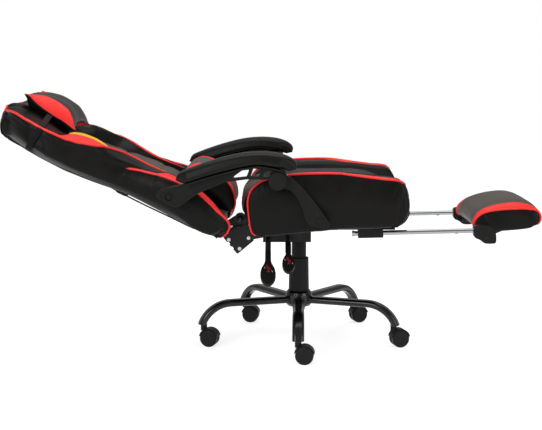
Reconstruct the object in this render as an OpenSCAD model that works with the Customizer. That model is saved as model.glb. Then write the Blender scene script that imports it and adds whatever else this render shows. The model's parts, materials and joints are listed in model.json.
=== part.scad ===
// Reclining office chair with a pull-out footrest, shown leaned back with the footrest out.
// Millimetres. +X is the way the seat faces, +Z is up, and the chair's left side is +Y.
// The origin lies on the floor under the middle of the chair's length.

/* [Base] */
// Distance from the column to the middle of each leg's open end
base_r = 318; // [300:1:340]
// Turn of the five legs about the column
base_turn = -1.6; // [-30:0.1:30]
// Height of the legs' straight stretch
leg_z = 132; // [125:1:135]
// Radius of each leg's bend
leg_bend_r = 100; // [95:1:105]
// Width of the flattened leg tube
leg_w = 36; // [32:1:38]
// Height of the flattened leg tube
leg_h = 22; // [20:1:24]

/* [Casters] */
// Radius of a caster wheel
wheel_r = 27.5; // [26:0.5:29]
// Width of one wheel of a pair
wheel_w = 16; // [12:1:18]
// Distance that the axle trails behind the stem
caster_trail = 19; // [17:1:22]

/* [Column] */
// Distance from the origin to the column, along X
column_x = 80; // [60:1:100]
// Radius of the upper cover
upper_cover_r = 23; // [22.5:0.1:23.3]
// Height of the lower cover's top edge
lower_cover_top = 267; // [262:1:270]
// Radius of the gas cylinder
cylinder_r = 14; // [13.5:0.1:14.2]

/* [Seat] */
// Half of the seat's width
seat_half_w = 256; // [250:1:258]
// Half of the width of the seat's middle panel
seat_panel_half_w = 150; // [140:1:155]
// Height of the seat's flat middle panel
seat_top_z = 548; // [544:1:550]
// Thickness of the seat board
board_t = 12; // [10:1:14]

/* [Backrest] */
// Lean of the backrest, from upright
back_lean = 63.6; // [60:0.1:66]
// Half of the width of the backrest's middle panel
back_panel_half_w = 140; // [138:1:142]
// Radius of the rod that the backrest tilts on
pivot_rod_r = 6; // [5:0.5:6.5]

/* [Armrests] */
// Width of an armrest pad
arm_pad_w = 83; // [75:1:85]
// Radius of the round cover at the armrest's front joint
arm_disc_r = 26.5; // [25:0.5:28]

/* [Footrest] */
// Radius of a footrest rod
rod_r = 7.2; // [6.5:0.1:7.5]
// Distance from the middle of the chair to each rod
rod_y = 205; // [204:1:206]
// Slope of the rods
rod_slope = 1.4; // [0:0.1:2]
// Half of the width of the footrest pad
foot_pad_half_w = 172; // [150:1:174]

/* [Hidden] */

// Facets on exact round surfaces, and on curves that come out as meshes
$fn = 64;
mesh_fn = 24;
// Running clearance of a pin in its bore, and a hair of depth that keeps cuts clean
fit = 0.05;
cut = 1;

// Base
leg_count = 5;
hub_r = 43;
hub_bottom = 112;
hub_top = 162;
leg_wall = 2;
leg_cut_z = 70;
leg_bend_x = base_r - leg_bend_r * sin(acos((leg_cut_z - leg_z + leg_bend_r) / leg_bend_r));
stem_r = 5.5;
stem_offset = base_r - 6;
stem_top = 88;
socket_r = 8.5;
socket_bottom = 66;
// Turn of each caster about its stem
caster_turns = [-5, 15, 17, -9, -15];

// Gas lift
tube_r = 20.5;
tube_bottom = 100;
tube_top = 250;
tube_bore_r = 17.5;
tube_floor = 3;
cylinder_bottom = 162;
cylinder_top = 350;
cylinder_wall = 3;
cavity_bottom = 172;
cavity_top = 335;
piston_rod_r = 4;
piston_z = 232;
piston_t = 8;
bush_bottom = 205;
cover_wall = 1.8;
upper_cover_bottom = 222;
upper_cover_top = 324;
pin_r = 3.5;
pin_bottom = 338;
pin_top = 356;

// Mechanism
mech_bottom = 326;
mech_rear = -114;
mech_front = 36;
mech_half_w = 70;
mech_wall = 3;
mech_bolt_r = 4;
board_bottom = 388;
board_top = board_bottom + board_t;
board_rear = -132;
board_front = 282;
board_half_w = 225;
// Middles of the four bolts that hold the mechanism to the board
mech_bolts_xy = [for (x = [-98, 78], y = [-84, 84]) [x, y]];

// Recliner. The tilt axis is at the top corner of the side plates
pivot = [-188, 378];
plate_side = 68;
plate_turn = 40;
plate_t = 4;
plate_y = 136;
plate_bolt_gap = 43;
bracket_t = 5;
bracket_y = 126;

// Backrest, in its own frame: x points forward out of the backrest, z points up along it
back_foot = [-247, 356.5];

// Armrest linkage, in side view
arm_rear = [-386, 497];
arm_front = [-70, 544];
strut_foot = [57, 423];
arm_inner_y = 262;
arm_frame_y = 290;
arm_frame_t = 26;
arm_pin_r = 6;
strut_t = 24;
bolt_r = 5;

// Footrest
guide_mid = [210, 375.2];
guide_len = 75;
foot_pivot = [555, 363.5];
foot_bracket_w = 30;

// Smooth closed outline through a few points, by the Catmull-Rom rule
function spline_point(a, b, c, d, t) =
  0.5 * (2 * b + (c - a) * t + (2 * a - 5 * b + 4 * c - d) * t * t
    + (3 * b - a - 3 * c + d) * t * t * t);
function smooth(p, steps = 4) =
  [for (i = [0 : len(p) - 1], k = [0 : steps - 1])
    spline_point(p[(i + len(p) - 1) % len(p)], p[i], p[(i + 1) % len(p)],
      p[(i + 2) % len(p)], k / steps)];

function leg_angle(i) = base_turn - 90 + i * 360 / leg_count;

// Extrudes an outline drawn in side view (x, z) between two distances from the middle
module side_prism(y0, y1) {
  translate([0, y1, 0]) rotate([90, 0, 0]) linear_extrude(y1 - y0) children();
}

// Extrudes an outline drawn in front view (y, z) between two distances along X
module front_prism(x0, x1) {
  translate([x0, 0, 0]) rotate([90, 0, 90]) linear_extrude(x1 - x0) children();
}

// A round bar along Y, centred on a side-view point
module cross_bar(p, r, y0, y1) {
  translate([p[0], y1, p[1]]) rotate([90, 0, 0]) cylinder(h = y1 - y0, r = r);
}

module at_column() translate([column_x, 0, 0]) children();

module on_back() {
  translate([column_x + back_foot[0], 0, back_foot[1]]) rotate([0, -back_lean, 0]) children();
}

module on_rods() {
  translate([column_x + guide_mid[0], 0, guide_mid[1]]) rotate([0, -rod_slope, 0]) children();
}

// Left-hand shapes are drawn as they are, and right-hand shapes are mirrored
module on_side(side) {
  if (side == "left") children();
  else mirror([0, 1, 0]) children();
}

module both_sides() {
  children();
  mirror([0, 1, 0]) children();
}

// ---- Base ----

module leg_section(grow = 0) {
  core = leg_w - leg_h;
  square([leg_h + 2 * grow, core], center = true);
  for (s = [-1, 1]) translate([0, s * core / 2]) circle(r = leg_h / 2 + grow);
}

// The straight stretch sleeves over the start of the bend by a hair, so that the two are one piece
module leg_tube(grow = 0) {
  translate([0, 0, leg_z]) rotate([0, 90, 0]) linear_extrude(leg_bend_x + cut) leg_section(grow + 0.1);
  translate([leg_bend_x, 0, leg_z - leg_bend_r]) rotate([90, 0, 0]) rotate([0, 0, 15])
    rotate_extrude(angle = 75) translate([leg_bend_r, 0]) leg_section(grow);
}

module leg() {
  difference() {
    union() {
      difference() {
        leg_tube();
        leg_tube(-leg_wall);
        translate([0, -leg_w, 0]) cube([2 * base_r, 2 * leg_w, leg_cut_z]);
      }
      intersection() {
        translate([stem_offset, 0, leg_cut_z]) cylinder(h = stem_top - leg_cut_z + 2, r = socket_r);
        leg_tube();
      }
      translate([stem_offset, 0, socket_bottom]) cylinder(h = 5, r = socket_r + 2);
    }
    cylinder(h = 2 * leg_z, r = hub_r);
    translate([stem_offset, 0, 0]) cylinder(h = stem_top, r = stem_r + fit);
  }
}

module base_legs() color("#17181a") at_column()
  for (i = [0 : leg_count - 1]) rotate([0, 0, leg_angle(i)]) leg();

module base_hub() color("#17181a") at_column() rotate_extrude() polygon([
  [tube_r + fit, hub_bottom], [36, hub_bottom], [hub_r, hub_bottom + 8], [hub_r, hub_top - 14],
  [40, hub_top - 6], [35, hub_top], [tube_r + fit, hub_top]]);

module gas_lift_tube() color("#2b2c2e") at_column() difference() {
  translate([0, 0, tube_bottom]) cylinder(h = tube_top - tube_bottom, r = tube_r);
  translate([0, 0, tube_bottom + tube_floor]) cylinder(h = 200, r = tube_bore_r);
  translate([0, 0, tube_bottom - cut]) cylinder(h = 10, r = piston_rod_r + fit);
}

module gas_piston_rod() color("silver") at_column() {
  translate([0, 0, tube_bottom - 2]) cylinder(h = piston_z - tube_bottom + 2, r = piston_rod_r);
  translate([0, 0, piston_z]) cylinder(h = piston_t, r = cylinder_r - cylinder_wall - fit);
}

module lift_guide_bush() color("ivory") at_column() difference() {
  translate([0, 0, bush_bottom]) cylinder(h = tube_top - bush_bottom, r = tube_bore_r - fit);
  cylinder(h = 300, r = cylinder_r + fit);
}

module lower_column_cover() color("#232425") at_column() rotate_extrude() polygon([
  [29.5, hub_top], [32.5, hub_top], [30.5, lower_cover_top - 1], [29.5, lower_cover_top],
  [upper_cover_r + 0.6, lower_cover_top], [upper_cover_r + 0.6, lower_cover_top - 3],
  [27.5, lower_cover_top - 3]]);

// ---- Casters ----

// Places a caster's parts: the stem is at the local origin and the wheels trail along +X
module at_caster(i) at_column() rotate([0, 0, leg_angle(i - 1)]) translate([stem_offset, 0, 0])
  rotate([0, 0, caster_turns[i - 1] - leg_angle(i - 1)]) children();

module caster_fork(i) color("#1c1d1f") at_caster(i) {
  web = 8;
  hood_r = wheel_r + 3.5;
  hood_w = 2 * wheel_w + web;
  difference() {
    union() {
      translate([0, 0, 50]) cylinder(h = socket_bottom - 50 - 0.4, r = 10);
      intersection() {
        cross_bar([caster_trail, wheel_r], hood_r, -hood_w / 2 + 3, hood_w / 2 - 3);
        translate([-30, -40, wheel_r + 6]) cube([100, 80, 60]);
      }
      cross_bar([caster_trail, wheel_r], wheel_r - 4, -web / 2, web / 2);
      translate([0, -web / 2, wheel_r]) cube([caster_trail, web, wheel_r]);
    }
    for (s = [-1, 1]) {
      y0 = s > 0 ? web / 2 : -web / 2 - wheel_w - 5;
      cross_bar([caster_trail, wheel_r], wheel_r + 1, y0, y0 + wheel_w + 5);
    }
    cross_bar([caster_trail, wheel_r], 3 + fit, -web, web);
    translate([0, 0, 54]) cylinder(h = 40, r = stem_r);
  }
  translate([0, 0, 54]) cylinder(h = stem_top - 56, r = stem_r);
}

module caster_wheels(i) color("#2a2b2d") at_caster(i) {
  gap = 9;
  for (s = [-1, 1]) translate([caster_trail, s * gap / 2, wheel_r]) rotate([-90 * s, 0, 0])
    rotate_extrude() polygon([
      [3, 0], [wheel_r - 1, 0], [wheel_r, 1.5], [wheel_r, wheel_w - 4], [wheel_r - 2, wheel_w - 1.5],
      [wheel_r - 5, wheel_w], [3, wheel_w]]);
  cross_bar([caster_trail, wheel_r], 3, -gap / 2 - wheel_w, gap / 2 + wheel_w);
}

module caster_1_fork() caster_fork(1);
module caster_2_fork() caster_fork(2);
module caster_3_fork() caster_fork(3);
module caster_4_fork() caster_fork(4);
module caster_5_fork() caster_fork(5);
module caster_1_wheels() caster_wheels(1);
module caster_2_wheels() caster_wheels(2);
module caster_3_wheels() caster_wheels(3);
module caster_4_wheels() caster_wheels(4);
module caster_5_wheels() caster_wheels(5);

// ---- Lift ----

module gas_cylinder() color("#9a9c9f") at_column() difference() {
  translate([0, 0, cylinder_bottom]) cylinder(h = cylinder_top - cylinder_bottom, r = cylinder_r);
  translate([0, 0, cavity_bottom]) cylinder(h = cavity_top - cavity_bottom, r = cylinder_r - cylinder_wall);
  translate([0, 0, cylinder_bottom - cut]) cylinder(h = 20, r = piston_rod_r + fit);
  translate([0, 0, cavity_top - cut]) cylinder(h = 40, r = pin_r + fit);
}

module upper_column_cover() color("#232425") at_column() difference() {
  translate([0, 0, upper_cover_bottom])
    cylinder(h = upper_cover_top - upper_cover_bottom, r = upper_cover_r);
  translate([0, 0, upper_cover_bottom - cut])
    cylinder(h = upper_cover_top - upper_cover_bottom - 4, r = upper_cover_r - cover_wall);
  cylinder(h = 400, r = cylinder_r + fit);
}

module gas_valve_pin() color("silver") at_column()
  translate([0, 0, pin_bottom]) cylinder(h = pin_top - pin_bottom, r = pin_r);

// ---- Seat ----

module seat_mechanism() color("#1b1c1d") at_column() difference() {
  union() {
    difference() {
      translate([mech_rear, -mech_half_w, mech_bottom])
        cube([mech_front - mech_rear, 2 * mech_half_w, board_bottom - mech_bottom]);
      translate([mech_rear + mech_wall, -mech_half_w + mech_wall, mech_bottom + mech_wall])
        cube([mech_front - mech_rear - 2 * mech_wall, 2 * (mech_half_w - mech_wall), 100]);
    }
    translate([mech_rear, -98, board_bottom - mech_wall]) cube([216, 196, mech_wall]);
    translate([0, 0, mech_bottom]) cylinder(h = 20, r = 22);
  }
  translate([0, 0, mech_bottom - cut]) cylinder(h = 40, r = cylinder_r + fit);
  for (p = mech_bolts_xy) translate([p[0], p[1], 0]) cylinder(h = 400, r = mech_bolt_r + fit);
  for (l = lever_list) translate([l[0] - 9, -mech_half_w - cut, l[2] - 15]) cube([18, 6, 26]);
}

module hex_bolt(r, head_h, length) {
  translate([0, 0, -head_h]) cylinder(h = head_h, r = r * 1.8, $fn = 6);
  cylinder(h = length, r = r);
}

module mechanism_bolts() color("silver") at_column() for (p = mech_bolts_xy)
  translate([p[0], p[1], board_bottom - mech_wall]) hex_bolt(mech_bolt_r, 5.5, mech_wall + board_t - 2);

module seat_board() color("#b08a5a") at_column() difference() {
  translate([board_rear, -board_half_w, board_bottom])
    cube([board_front - board_rear, 2 * board_half_w, board_t]);
  for (p = mech_bolts_xy) translate([p[0], p[1], 0]) cylinder(h = 420, r = mech_bolt_r + fit);
}

module seat_cushion() color("#2b2a29") at_column() side_prism(-seat_panel_half_w, seat_panel_half_w)
  polygon(concat(
    [[board_rear, board_top]],
    [for (a = [200 : -10 : 100]) [-80, 480] + [78 * cos(a), (seat_top_z - 480) * sin(a)]],
    [[-60, seat_top_z], [200, seat_top_z]],
    [for (a = [80 : -10 : -60]) [205, 476] + [107 * cos(a), (seat_top_z - 476) * sin(a)]],
    [[board_front - 8, board_top]]));

// Side view of a bolster: rounded rear, flat top that falls to the front, rounded nose
bolster_side = smooth([[-140, 376], [-150, 402], [-156, 473], [-148, 511], [-118, 541], [-50, 561],
  [80, 565], [180, 561], [245, 554], [290, 539], [319, 492], [315, 440], [300, 412], [282, 399],
  [150, 395], [20, 385], [-90, 374]]);
// Front view of a bolster: inner wall, low crest, outer wall and the skirt beside the board
bolster_front = concat(
  [[seat_panel_half_w, board_top], [seat_panel_half_w, 549]],
  [for (a = [160 : -16 : 0]) [202, 543] + [(a > 90 ? 50 : seat_half_w - 202) * cos(a), 22 * sin(a)]],
  [[seat_half_w, 430], [250, 366], [228, 366], [227, board_top]]);

module seat_bolster(side) color("#242322") at_column() on_side(side) difference() {
  intersection() {
    side_prism(seat_panel_half_w, seat_half_w) polygon(bolster_side);
    front_prism(-170, 330) polygon(bolster_front);
  }
  translate([-300, 0, 300]) cube([700, 227, board_top - 300]);
  cross_bar(strut_foot, bolt_r + fit, 200, 260);
}

module seat_bolster_left() seat_bolster("left");
module seat_bolster_right() seat_bolster("right");

module rod_guide(side) color("#1e1f20") on_side(side) difference() {
  union() {
    on_rods() translate([-guide_len / 2, rod_y - 15, -12.5]) cube([guide_len, 30, 22]);
    at_column() translate([guide_mid[0] - guide_len / 2 + 4, rod_y - 15, guide_mid[1]])
      cube([guide_len - 8, 30, board_bottom - guide_mid[1]]);
  }
  on_rods() translate([-60, rod_y, 0]) rotate([0, 90, 0]) cylinder(h = 120, r = rod_r + fit);
}

module rod_guide_left() rod_guide("left");
module rod_guide_right() rod_guide("right");

// ---- Recliner ----

// Corner-down square with a tongue that runs forward under the seat board
module plate_outline() {
  mid = [0, -plate_bolt_gap / sqrt(2)];
  half = plate_side / 2;
  turned = [[half, half - 18], [half - 18, half], [-half + 3, half], [-half, half - 3], [-half, 14], [-half + 4, 13],
    [-half + 4, 5], [-half, 4], [-half, -4], [-half + 3, -5], [-half + 3, -13], [-half, -14],
    [-half, -half + 3], [-half + 3, -half], [half - 3, -half], [half, -half + 3]];
  points = [for (p = turned) mid + [p[0] * cos(plate_turn) - p[1] * sin(plate_turn),
    p[0] * sin(plate_turn) + p[1] * cos(plate_turn)]];
  tongue = [[128, -16], [128, 10], [12, 10]];
  difference() {
    polygon(concat([for (i = [1 : len(points) - 1]) points[i]], tongue));
    circle(r = pivot_rod_r + fit);
  }
}

module plate_bolt_places() {
  mid = [0, -plate_bolt_gap / sqrt(2)];
  for (a = [0, 180, 270]) translate(mid) rotate(a + 5) translate([plate_bolt_gap / sqrt(2), 0]) children();
}

module recliner_plate(side) color("#161718") at_column() on_side(side)
  side_prism(plate_y, plate_y + plate_t) translate(pivot) difference() {
    plate_outline();
    plate_bolt_places() circle(r = 3.5);
  }

module recliner_plate_left() recliner_plate("left");
module recliner_plate_right() recliner_plate("right");

module recliner_bolts() color("#c9cbce") at_column() both_sides() translate([pivot[0], 0, pivot[1]])
  rotate([90, 0, 0]) plate_bolt_places() {
    translate([0, 0, -plate_y - plate_t]) cylinder(h = plate_t + 6, r = 3.4);
    translate([0, 0, -plate_y - plate_t - 3.5]) cylinder(h = 3.5, r = 5.5);
    translate([0, 0, -plate_y + 2]) cylinder(h = 4, r = 5.5, $fn = 6);
  }

// Cross angle that carries both plates and is fixed under the rear of the seat board
module recliner_carrier() color("#1b1c1d") at_column() side_prism(-plate_y, plate_y)
  polygon([[board_rear, board_bottom], [board_rear, board_bottom - 26], [board_rear + 3, board_bottom - 26],
    [board_rear + 3, board_bottom - 3], [mech_rear - 1, board_bottom - 3], [mech_rear - 1, board_bottom]]);

module recline_pivot_rod() color("silver") at_column() {
  cross_bar(pivot, pivot_rod_r, -plate_y - plate_t - 5, plate_y + plate_t + 5);
  both_sides() cross_bar(pivot, pivot_rod_r + 3, plate_y + plate_t + 0.2, plate_y + plate_t + 5);
}

// Flat spiral springs on the rod, wound in three turns
spiral_turns = 3;
spiral_step = 15;
function spiral(inner, pitch, reach) =
  [for (a = [0 : spiral_step : 360 * spiral_turns]) (inner + pitch * a / 360 + reach) * [cos(a), sin(a)]];
function reversed(p) = [for (i = [len(p) - 1 : -1 : 0]) p[i]];

module recline_springs() color("#6f7276") at_column() both_sides()
  side_prism(100, 112) translate(pivot)
    polygon(concat(spiral(pivot_rod_r + 1, 4, 0), reversed(spiral(pivot_rod_r + 1, 4, 2))));

module strut_bolts() color("#2a2b2c") at_column() both_sides() {
  cross_bar(strut_foot, bolt_r, 205, arm_inner_y + strut_t + 3.5);
  cross_bar(strut_foot, bolt_r + 4, arm_inner_y + strut_t + 0.2, arm_inner_y + strut_t + 3.5);
}

// ---- Levers ----

// Each lever: x of its pivot, y of its pivot, z of its pivot, length of the rod and of the grip
lift_lever = [-36, -mech_half_w, 360, 88, 76];
recline_lever = [-98, -mech_half_w, 360, 118, 94];
lever_list = [lift_lever, recline_lever];
lever_slope = 42;
lever_rod_r = 4;

module at_lever(l) at_column() translate([l[0], l[1], l[2]]) children();

module lever_rod(l) {
  translate([-7, 0, 0]) rotate([0, 90, 0]) cylinder(h = 14, r = lever_rod_r + 2);
  rotate([90 + lever_slope, 0, 0]) cylinder(h = l[3] + 20, r = lever_rod_r);
  rotate([-90, 0, 0]) cylinder(h = 56, r = lever_rod_r);
}

// Half of a grip's blade, as shares of its length
grip_half = [[0.08, -0.01], [0.12, 0.13], [0.21, 0.33], [0.25, 0.56], [0.21, 0.8], [0.08, 0.97]];

// Flat grip with a ribbed neck: a drop-shaped blade seen from the side
module lever_grip(l) {
  neck = l[3] - 40;
  rotate([90 + lever_slope, 0, 0]) difference() {
    union() {
      translate([0, 0, neck]) cylinder(h = l[3] - neck, r = 8);
      for (k = [0 : 5]) translate([0, 0, neck + 3 + k * 6]) cylinder(h = 3, r = 9.2);
      translate([0, 6, l[3]]) rotate([90, 0, 0]) linear_extrude(12)
        polygon(l[4] * smooth([for (p = grip_half) p, for (p = reversed(grip_half)) [-p[0], p[1]]]));
    }
    translate([0, 0, -cut]) cylinder(h = l[3] + 20 + cut, r = lever_rod_r);
  }
}

module lift_lever_rod() color("#a7a9ab") at_lever(lift_lever) {
  lever_rod(lift_lever);
  translate([-4, 48, -3.5]) cube([46, 26, 3.5]);
}
module lift_lever_grip() color("#1a1a1b") at_lever(lift_lever) lever_grip(lift_lever);
module recline_lever_rod() color("#a7a9ab") at_lever(recline_lever) lever_rod(recline_lever);
module recline_lever_grip() color("#1a1a1b") at_lever(recline_lever) lever_grip(recline_lever);

// ---- Backrest ----

// Side view of the middle panel, x forward and z up along the back
panel_rear = [[0, 700], [-12, 620], [-20, 520], [-26, 400], [-20, 310], [-15, 230], [-17, 140], [-20, 60],
  [-14, 8]];
panel_front = [[30, -4], [52, 14], [66, 60], [74, 130], [75, 250], [73, 350], [78, 450], [84, 540],
  [92, 620], [99, 690], [96, 722], [80, 741], [48, 748], [18, 734]];
// Side view of a wing, from its lower lobe to the head
wing_side = [[0, 0], [14, -11], [34, -14], [54, -12], [74, -4], [94, 18], [106, 46], [110, 80], [110, 140],
  [106, 200], [101, 260], [97, 320], [97, 370], [101, 410], [102, 445], [100, 485], [95, 525], [86, 560],
  [79, 600], [77, 650], [76, 700], [70, 726], [54, 739], [34, 740], [14, 727], [2, 704], [0, 460], [8, 350],
  [9, 90]];
// Half width of the backrest along its height
back_outline = [[140, -20], [232, -14], [250, 4], [256, 50], [254, 110], [240, 190], [226, 270], [219, 330],
  [228, 400], [252, 470], [272, 530], [278, 590], [268, 645], [240, 690], [214, 720], [190, 742], [140, 746]];

channel_y = 120;
channel_half = 17;
frame_x = 6;
frame_tube_r = 8;
tab_x = 4;
tab_reach = 72;
tab_z = 187;

module back_panel() color("#262524") on_back() difference() {
  side_prism(-back_panel_half_w, back_panel_half_w) polygon(concat(panel_rear, panel_front));
  both_sides() {
    translate([-60, channel_y - channel_half, -30]) cube([78, 2 * channel_half, 680]);
    translate([tab_x - 1, channel_y, tab_z - 24]) cube([tab_reach + 2, 60, 48]);
  }
  for (z = [90, 620]) translate([-60, -channel_y, z - 12]) cube([78, 2 * channel_y, 24]);
}

module back_shell() color("#1d1d1d") on_back() side_prism(-back_panel_half_w, back_panel_half_w)
  polygon(concat(panel_rear, [for (p = reversed(panel_rear)) p - [3, 0]]));

module back_wing(side) color("#242322") on_back() on_side(side) difference() {
  intersection() {
    side_prism(back_panel_half_w, 300) polygon(wing_side);
    front_prism(-20, 120) polygon(back_outline);
  }
  translate([tab_x - 1, channel_y, tab_z - 24]) cube([tab_reach + 2, 86, 48]);
  cross_bar([arm_local[0], arm_local[1]], bolt_r + fit, 150, 260);
}

// The armrest's rear pivot in the backrest's own frame
arm_from_foot = arm_rear - back_foot;
arm_local = [arm_from_foot[0] * cos(back_lean) + arm_from_foot[1] * sin(back_lean),
  -arm_from_foot[0] * sin(back_lean) + arm_from_foot[1] * cos(back_lean)];

module back_wing_left() back_wing("left");
module back_wing_right() back_wing("right");

module back_frame() color("#3a3b3d") on_back() difference() {
  union() {
    both_sides() {
      translate([frame_x, channel_y - 5, 10]) cylinder(h = 610, r = frame_tube_r);
      translate([frame_x, channel_y - 5, 620]) sphere(r = frame_tube_r);
      translate([tab_x, channel_y - 2, tab_z - 20]) cube([6, 84, 40]);
      translate([tab_x, channel_y + 76, tab_z - 20]) cube([tab_reach, 6, 40]);
    }
    for (z = [90, 620]) translate([frame_x, channel_y - 5, z]) rotate([90, 0, 0])
      cylinder(h = 2 * channel_y - 10, r = frame_tube_r);
  }
  cross_bar(arm_local, bolt_r + fit, -300, 300);
}

pivot_local_from = pivot - back_foot;
pivot_local = [pivot_local_from[0] * cos(back_lean) + pivot_local_from[1] * sin(back_lean),
  -pivot_local_from[0] * sin(back_lean) + pivot_local_from[1] * cos(back_lean)];

module back_brackets() color("#17181a") on_back() both_sides()
  side_prism(bracket_y, bracket_y + bracket_t) difference() {
    union() {
      translate(pivot_local) circle(r = 15);
      polygon([pivot_local + [8, -12], pivot_local + [12, 9], [15, -8], [15, 120], [-3, 120], [-3, -8]]);
    }
    translate(pivot_local) circle(r = pivot_rod_r + fit);
  }

module headrest_pillow() color("#b3231f") on_back() hull() {
  for (s = [-1, 1]) {
    translate([122, s * 134, 708]) sphere(r = 7, $fn = mesh_fn);
    translate([107, s * 134, 540]) sphere(r = 7, $fn = mesh_fn);
  }
  translate([129, 0, 632]) scale([1, 3.4, 2.4]) sphere(r = 31, $fn = mesh_fn);
}

// Elastic band round the head of the backrest, sewn to the sides of the pillow
strap_loop = [[-19, 146], [-4, 281], [83, 281], [100, 146]];
function loop_points(grow) = concat(
  [for (p = strap_loop) p + [p[0] < 50 ? -grow : grow, grow]],
  [for (p = reversed(strap_loop)) [p[0] + (p[0] < 50 ? -grow : grow), -p[1] - grow]]);

module headrest_strap() color("#141414") on_back() translate([0, 0, 604]) linear_extrude(18) difference() {
  polygon(loop_points(1.5));
  polygon(loop_points(0));
  translate([60, -141.5]) square([200, 283]);
}

module lumbar_pillow() color("#2d2c2b") on_back() side_prism(-139.5, 139.5)
  polygon([[75.5, 104], [100, 104.5], [124, 109], [150, 119], [168, 133], [176, 148], [176, 164], [167, 181],
    [148, 198], [120, 213], [98, 220], [75.5, 222]]);

module back_strap() color("#4a4a4a") on_back() side_prism(-12, 12)
  polygon([[-29.2, 401], [-23.2, 61], [-24.7, 61], [-30.7, 401]]);

module strap_buckle() color("#101010") on_back() side_prism(-18, 18)
  polygon([[-30.1, 352], [-29.5, 312], [-36, 312], [-38, 320], [-38.5, 344], [-36.5, 352]]);

module arm_bolts() color("#2a2b2c") at_column() both_sides() {
  cross_bar(arm_rear, bolt_r, 192, arm_frame_y + 22);
  cross_bar(arm_rear, bolt_r + 4, arm_frame_y + 18.2, arm_frame_y + 22);
}

// ---- Armrests ----

arm_pad_outline = smooth([[-364, 556], [-345, 574], [-264, 604], [-176, 626], [-125, 631], [-75, 624],
  [-35, 606], [-12, 588], [-18, 574], [-45, 573], [-75, 582], [-125, 590], [-176, 583], [-264, 560],
  [-335, 538], [-358, 541]], 3);
arm_beam_outline = [[-424, 507], [-412, 518], [-347, 534], [-264, 559.7], [-176, 582.7], [-125, 589.7],
  [-75, 581.7], [-48, 573], [-42, 556], [-60, 530], [-95, 548], [-158, 549], [-222, 541], [-300, 508],
  [-352, 472], [-367, 466], [-382, 470], [-420, 494]];
arm_windows = [
  [[-206, 551], [-160, 556], [-152, 577], [-172, 575]],
  [[-148, 557], [-124, 557], [-117, 579], [-140, 580]],
  [[-112, 557], [-96, 556], [-88, 572], [-104, 577]]];

// Shallow recess in the arm's outer face, which leaves a raised rim along its edges
arm_recess = [[-412, 505], [-402, 512], [-344, 529], [-262, 553], [-222, 548], [-300, 516], [-352, 480],
  [-370, 475], [-410, 496]];
arm_recess_depth = 2;

module arm_frame(side) color("#222325") at_column() on_side(side) difference() {
  union() {
    side_prism(arm_frame_y, arm_frame_y + arm_frame_t) difference() {
      polygon(arm_beam_outline);
      for (w = arm_windows) polygon(w);
    }
    cross_bar(arm_rear, 17, 244, arm_frame_y + 1);
    cross_bar(arm_front, arm_disc_r, arm_frame_y, arm_frame_y + arm_frame_t + 12);
    cross_bar(arm_front, arm_pin_r, arm_inner_y, arm_frame_y + 1);
    translate([0, arm_inner_y + 4, 0]) mirror([0, 1, 0]) rotate([90, 0, 0])
      linear_extrude(arm_pad_w - 8) polygon([[-335, 537.7], [-264, 559.7], [-176, 582.7], [-125, 589.7],
        [-75, 581.7], [-48, 573], [-48, 569], [-75, 577.7], [-125, 585.7], [-176, 578.7], [-264, 555.7],
        [-335, 533.7]]);
  }
  cross_bar(arm_rear, bolt_r + fit, 240, 400);
  cross_bar(arm_rear, bolt_r + 6, arm_frame_y + 18, 400);
  difference() {
    side_prism(arm_frame_y + arm_frame_t - arm_recess_depth, 400) polygon(arm_recess);
    cross_bar(arm_rear, bolt_r + 10, arm_frame_y, 400);
  }
}

module arm_frame_left() arm_frame("left");
module arm_frame_right() arm_frame("right");

module arm_pad(side) color("#1f1f20") at_column() on_side(side)
  side_prism(arm_inner_y, arm_inner_y + arm_pad_w) difference() {
    polygon(arm_pad_outline);
    polygon([[-370, 527], [-335, 537.9], [-264, 559.9], [-176, 582.9], [-125, 589.9], [-75, 581.9],
      [-48, 573.2], [-10, 560], [-10, 500], [-370, 500]]);
  }

module arm_pad_left() arm_pad("left");
module arm_pad_right() arm_pad("right");

strut_outline = smooth([[-72, 566], [-48, 560], [-12, 536], [24, 497], [60, 450], [82, 416], [80, 404],
  [58, 401], [30, 408], [14, 424], [-2, 470], [-26, 508], [-62, 522], [-88, 534], [-90, 554]], 4);

module arm_strut(side) color("#2a2b2c") at_column() on_side(side)
  side_prism(arm_inner_y, arm_inner_y + strut_t) difference() {
    polygon(strut_outline);
    translate(arm_front) circle(r = arm_pin_r + 5.5);
    translate(strut_foot) circle(r = bolt_r + fit);
  }

module arm_strut_left() arm_strut("left");
module arm_strut_right() arm_strut("right");

// ---- Footrest ----

rod_rear = -52;
rod_front = 330;

module footrest_rods() color("#d8dadc") on_rods() {
  both_sides() {
    translate([rod_rear, rod_y, 0]) rotate([0, 90, 0]) cylinder(h = rod_front - rod_rear, r = rod_r);
    translate([rod_rear - 3, rod_y, 0]) rotate([0, 90, 0]) cylinder(h = 8, r = rod_r + 2);
  }
  translate([260, rod_y + 4, -rod_r - 3]) rotate([90, 0, 0]) cylinder(h = 2 * rod_y + 8, r = 5);
}

module footrest_brackets() color("#1c1d1e") both_sides() difference() {
  at_column() side_prism(rod_y - foot_bracket_w / 2, rod_y + foot_bracket_w / 2)
    polygon(smooth([[521, 397], [550, 399], [572, 395], [584, 380], [586, 350], [574, 345], [552, 346],
      [538, 356], [521, 366]], 3));
  on_rods() translate([250, rod_y, 0]) rotate([0, 90, 0]) cylinder(h = rod_front - 250, r = rod_r);
  at_column() cross_bar(foot_pivot, 5 + fit, rod_y - 30, rod_y + 8);
}

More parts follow.
